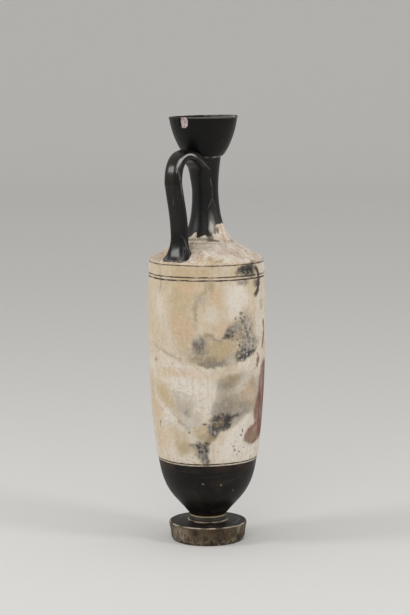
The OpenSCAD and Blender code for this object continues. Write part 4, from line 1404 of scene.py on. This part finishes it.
class LEKYTHOS_OT_handle(Operator):
    """Pull the strap handle and smear its ends onto neck and shoulder"""

    bl_idname = "lekythos.handle"
    bl_label = "Handle"

    def execute(self, context):
        s, h, _, look = settings()
        run, stops = strap_run(s, h)
        drop = stops["crown"][1] - stops["root"][1]
        channel = h.channel * ease(run[:, :1], 0.5 * h.crown_reach, 0.8 * h.crown_reach)
        channel = channel * ease(run[:, 1:2], stops["root"][1] + 0.40 * drop, stops["root"][1] + 0.62 * drop)
        away = self.clearance(s, self.laid(run, channel, 0))
        swell = h.swell * np.exp(-np.maximum(away, 0) / (1.6 * MM)) * ease(away, -2.5 * MM, -0.5 * MM)
        points = self.pressed(s, self.laid(run, channel, swell), run, stops)
        points = points + self.finger_marks(points, run)
        count, sides = points.shape[:2]
        low = np.arange(count - 1)[:, None] * sides
        here, there = np.arange(sides)[None, :], np.roll(np.arange(sides), -1)[None, :]
        quads = np.stack([low + here, low + sides + here, low + sides + there, low + there], axis=-1)
        faces = quads.reshape(-1, 4).tolist()
        faces += [list(range(sides)), [(count - 1) * sides + k for k in reversed(range(sides))]]
        mesh = bpy.data.meshes.new("strap_handle")
        mesh.from_pydata(points.reshape(-1, 3).tolist(), [], faces)
        add_piece("strap_handle", mesh, ["handle"], handle_material(look))
        return {"FINISHED"}

    def laid(self, run, channel_d, extra):
        """The strap's skin, one row of points for each place on its run: a rounded box with a channel along
        its outer face, made larger all round by extra."""
        along = np.gradient(run[:, :2], axis=0)
        along /= np.linalg.norm(along, axis=1)[:, None]
        out = np.stack([-along[:, 1], along[:, 0]], axis=1)
        turn = np.linspace(0, 2 * math.pi, STRAP_SIDES, endpoint=False)
        across, proud = (np.sign(k) * np.abs(k) ** STRAP_CORNERS for k in (np.cos(turn), np.sin(turn)))
        channel = np.where(proud > 0, proud, 0) * np.exp(-(((across - CHANNEL_AT) / CHANNEL_W) ** 2))
        wide = across[None, :] * (run[:, 2:3] / 2 + extra)
        thick = proud[None, :] * (run[:, 3:4] / 2 + extra) - channel[None, :] * channel_d
        x = -(run[:, :1] + thick * out[:, :1])
        return np.stack([x + 0 * wide, wide, run[:, 1:2] + thick * out[:, 1:2]], axis=-1)

    def from_neck(self, s, points):
        """The points about the leaning axis, their radius, and the neck's or mouth's at each height."""
        local = turned(points, LEANING.inverted())
        side = join(neck_side(s), mouth_outside(s))
        radius = np.hypot(local[..., 0], local[..., 1])
        return local, radius, np.interp(local[..., 2], side[:, 1], side[:, 0])

    def clearance(self, s, points):
        """How far each point of the strap is from the neck or the shoulder, less than 0 inside them."""
        _, radius, wall = self.from_neck(s, points)
        slope = shoulder_side(s)
        flat = np.hypot(points[..., 0], points[..., 1])
        ground = np.interp(flat, slope[::-1, 0], slope[::-1, 1])
        slope_share = 0.85  # from a height over the shoulder to a distance square to it
        return np.minimum(radius - wall, (points[..., 2] - ground) * slope_share)

    def pressed(self, s, points, run, stops):
        """The strap with its upper end pressed onto the neck, where it thins to a skin and sinks in."""
        local, radius, wall = self.from_neck(s, points)
        height, away = run[:, 1:2], radius - wall
        skin = (0.3 + ease(height, SKIN_Z, THIN_Z)) * MM
        thin = np.where(away > 0, skin * (1 - np.exp(-np.maximum(away, 0) / skin)), away)
        sunk = 1.2 * MM * ease(height, SINK_Z, stops["tail"][1] + 4 * MM)
        share = ease(run[:, :1], 15 * MM, stops["neck"][0])
        share = share * ease(height, SEAT_Z + 8 * MM, SEAT_Z + 16 * MM)
        target = wall + away + share * (thin - sunk - away)
        scale = (target / np.maximum(radius, 1e-6))[..., None]
        return turned(np.concatenate([local[..., :2] * scale, local[..., 2:]], axis=-1), LEANING)

    def finger_marks(self, points, run):
        """Slow dents along the strap, left by the hand that pulled it."""
        middle = np.stack([-run[:, 0], 0 * run[:, 0], run[:, 1]], axis=1)[:, None, :]
        dents = 0.02 * grain(points, 9 * MM, 61) + 0.008 * grain(points, 3 * MM, 62)
        return (points - middle) * dents[..., None]


# Stage

CAMERA_LENS, CAMERA_SENSOR = 117.07, 36  # millimetres, the sensor's on its long side
CAMERA_PITCH = math.radians(7.336)  # how far the camera looks down
CAMERA_ROLL = math.radians(0.32)
LAMP_AIM_Z = 0.16
AIR_STRENGTH = 0.75
# Lamps: name, metres to the camera's right, metres towards the camera, height, share of the key power, width
LAMPS = (
    ("left_lamp", -1.10, 0.30, 0.78, 1.0, 0.35),
    ("right_lamp", 1.00, 0.60, 0.75, 0.9, 0.30),
    ("front_lamp", -0.25, 1.60, 1.30, 1.2, 0.90),
)
# The floor, in metres: half its width, its depth behind the vessel, the backdrop's height, the curve between
FLOOR_HALF, FLOOR_DEPTH, BACKDROP_Z, FLOOR_BEND_R = 6.0, 5.0, 4.0, 1.2


class LEKYTHOS_OT_stage(Operator):
    """Lay the pale floor and set up the lamps and the camera"""

    bl_idname = "lekythos.stage"
    bl_label = "Stage"

    def execute(self, context):
        stage = context.scene.lekythos_stage
        toward = Vector((math.cos(VIEW_ANGLE), math.sin(VIEW_ANGLE), 0))
        right = Vector((-toward.y, toward.x, 0))
        self.lay_floor(stage, toward, right)
        for name, aside, ahead, height, share, width in LAMPS:
            place = right * aside + toward * ahead + Vector((0, 0, height))
            self.hang_lamp(name, place, stage.key_power * share, width)
        world = bpy.data.worlds.new("studio_air")
        world.use_nodes = True
        air = world.node_tree.nodes["Background"]
        air.inputs["Color"].default_value = (*stage.floor, 1)
        air.inputs["Strength"].default_value = AIR_STRENGTH
        context.scene.world = world
        self.set_camera(context.scene, stage, toward, right)
        context.scene.view_settings.view_transform = "Standard"
        return {"FINISHED"}

    def set_camera(self, scene, stage, toward, right):
        """A long lens that looks down a little at the vessel, slightly rolled."""
        back = (toward * math.cos(CAMERA_PITCH) + Vector((0, 0, math.sin(CAMERA_PITCH)))).normalized()
        up = back.cross(right).normalized()
        side = right * math.cos(CAMERA_ROLL) - up * math.sin(CAMERA_ROLL)
        camera = bpy.data.cameras.new("camera")
        camera.lens, camera.sensor_width = CAMERA_LENS, CAMERA_SENSOR
        camera.clip_start, camera.clip_end = 0.01, 50
        holder = bpy.data.objects.new("camera", camera)
        place = toward * stage.camera_reach - right * stage.camera_aside
        place = place + Vector((0, 0, stage.camera_height))
        turn = Matrix((side, back.cross(side), back)).transposed().to_4x4()
        holder.matrix_world = Matrix.Translation(place) @ turn
        scene.collection.objects.link(holder)
        scene.camera = holder

    def lay_floor(self, stage, toward, right):
        """A floor that curves up into a backdrop far behind the vessel."""
        flat_end = FLOOR_DEPTH - FLOOR_BEND_R
        curve = [(flat_end + FLOOR_BEND_R * math.sin(a), FLOOR_BEND_R * (1 - math.cos(a)))
                 for a in np.linspace(0, math.pi / 2, 25)]
        profile = [(-FLOOR_HALF, 0.0), *curve, (FLOOR_DEPTH, BACKDROP_Z)]
        points = [right * aside - toward * run + Vector((0, 0, height))
                  for run, height in profile for aside in (-FLOOR_HALF, FLOOR_HALF)]
        faces = [(2 * k, 2 * k + 1, 2 * k + 3, 2 * k + 2) for k in range(len(profile) - 1)]
        mesh = bpy.data.meshes.new("floor")
        mesh.from_pydata(points, [], faces)
        mesh.polygons.foreach_set("use_smooth", [True] * len(mesh.polygons))
        mesh.materials.append(Finish("floor_paper").done((*stage.floor, 1), 0.85, specular=0.2))
        floor = bpy.data.objects.new("floor", mesh)
        bpy.context.scene.collection.objects.link(floor)

    def hang_lamp(self, name, place, power, width):
        """A square soft lamp that looks at the middle of the vessel."""
        lamp = bpy.data.lights.new(name, "AREA")
        lamp.energy, lamp.size = power, width
        holder = bpy.data.objects.new(name, lamp)
        aim = Vector((0, 0, LAMP_AIM_Z)) - place
        holder.location = place
        holder.rotation_mode = "QUATERNION"
        holder.rotation_quaternion = aim.to_track_quat("-Z", "Y")
        bpy.context.scene.collection.objects.link(holder)


class LEKYTHOS_PT_panel(Panel):
    """Lists the pieces and their settings"""

    bl_label = "Lekythos"
    bl_idname = "LEKYTHOS_PT_panel"
    bl_space_type = "VIEW_3D"
    bl_region_type = "UI"
    bl_category = "Lekythos"

    def draw(self, context):
        """Draws a box for each group of settings and a button for each step."""
        for group in GROUPS:
            box = self.layout.box()
            holder = getattr(context.scene, group)
            for key in holder.bl_rna.properties.keys():
                if key not in ("rna_type", "name"):
                    box.prop(holder, key)
        for operator in OPERATORS:
            self.layout.operator(operator.bl_idname)


OPERATORS = (
    LEKYTHOS_OT_foot,
    LEKYTHOS_OT_body,
    LEKYTHOS_OT_neck,
    LEKYTHOS_OT_mouth,
    LEKYTHOS_OT_handle,
    LEKYTHOS_OT_stage,
)
GROUPS = {
    "lekythos_shape": ShapeSettings,
    "lekythos_handle": HandleSettings,
    "lekythos_wear": WearSettings,
    "lekythos_finish": FinishSettings,
    "lekythos_stage": StageSettings,
}


def register():
    """Registers the classes and hangs their settings on the scene."""
    for cls in (*GROUPS.values(), *OPERATORS, LEKYTHOS_PT_panel):
        bpy.utils.register_class(cls)
    for name, group in GROUPS.items():
        setattr(bpy.types.Scene, name, PointerProperty(type=group))


def unregister():
    """Takes the settings and the classes away again."""
    for name in GROUPS:
        delattr(bpy.types.Scene, name)
    for cls in (LEKYTHOS_PT_panel, *reversed(OPERATORS), *GROUPS.values()):
        bpy.utils.unregister_class(cls)


def main():
    """Dresses the vessel with its default settings."""
    register()
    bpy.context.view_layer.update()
    for operator in OPERATORS:
        group, name = operator.bl_idname.split(".")
        getattr(getattr(bpy.ops, group), name)()


if __name__ == "__main__":
    main()
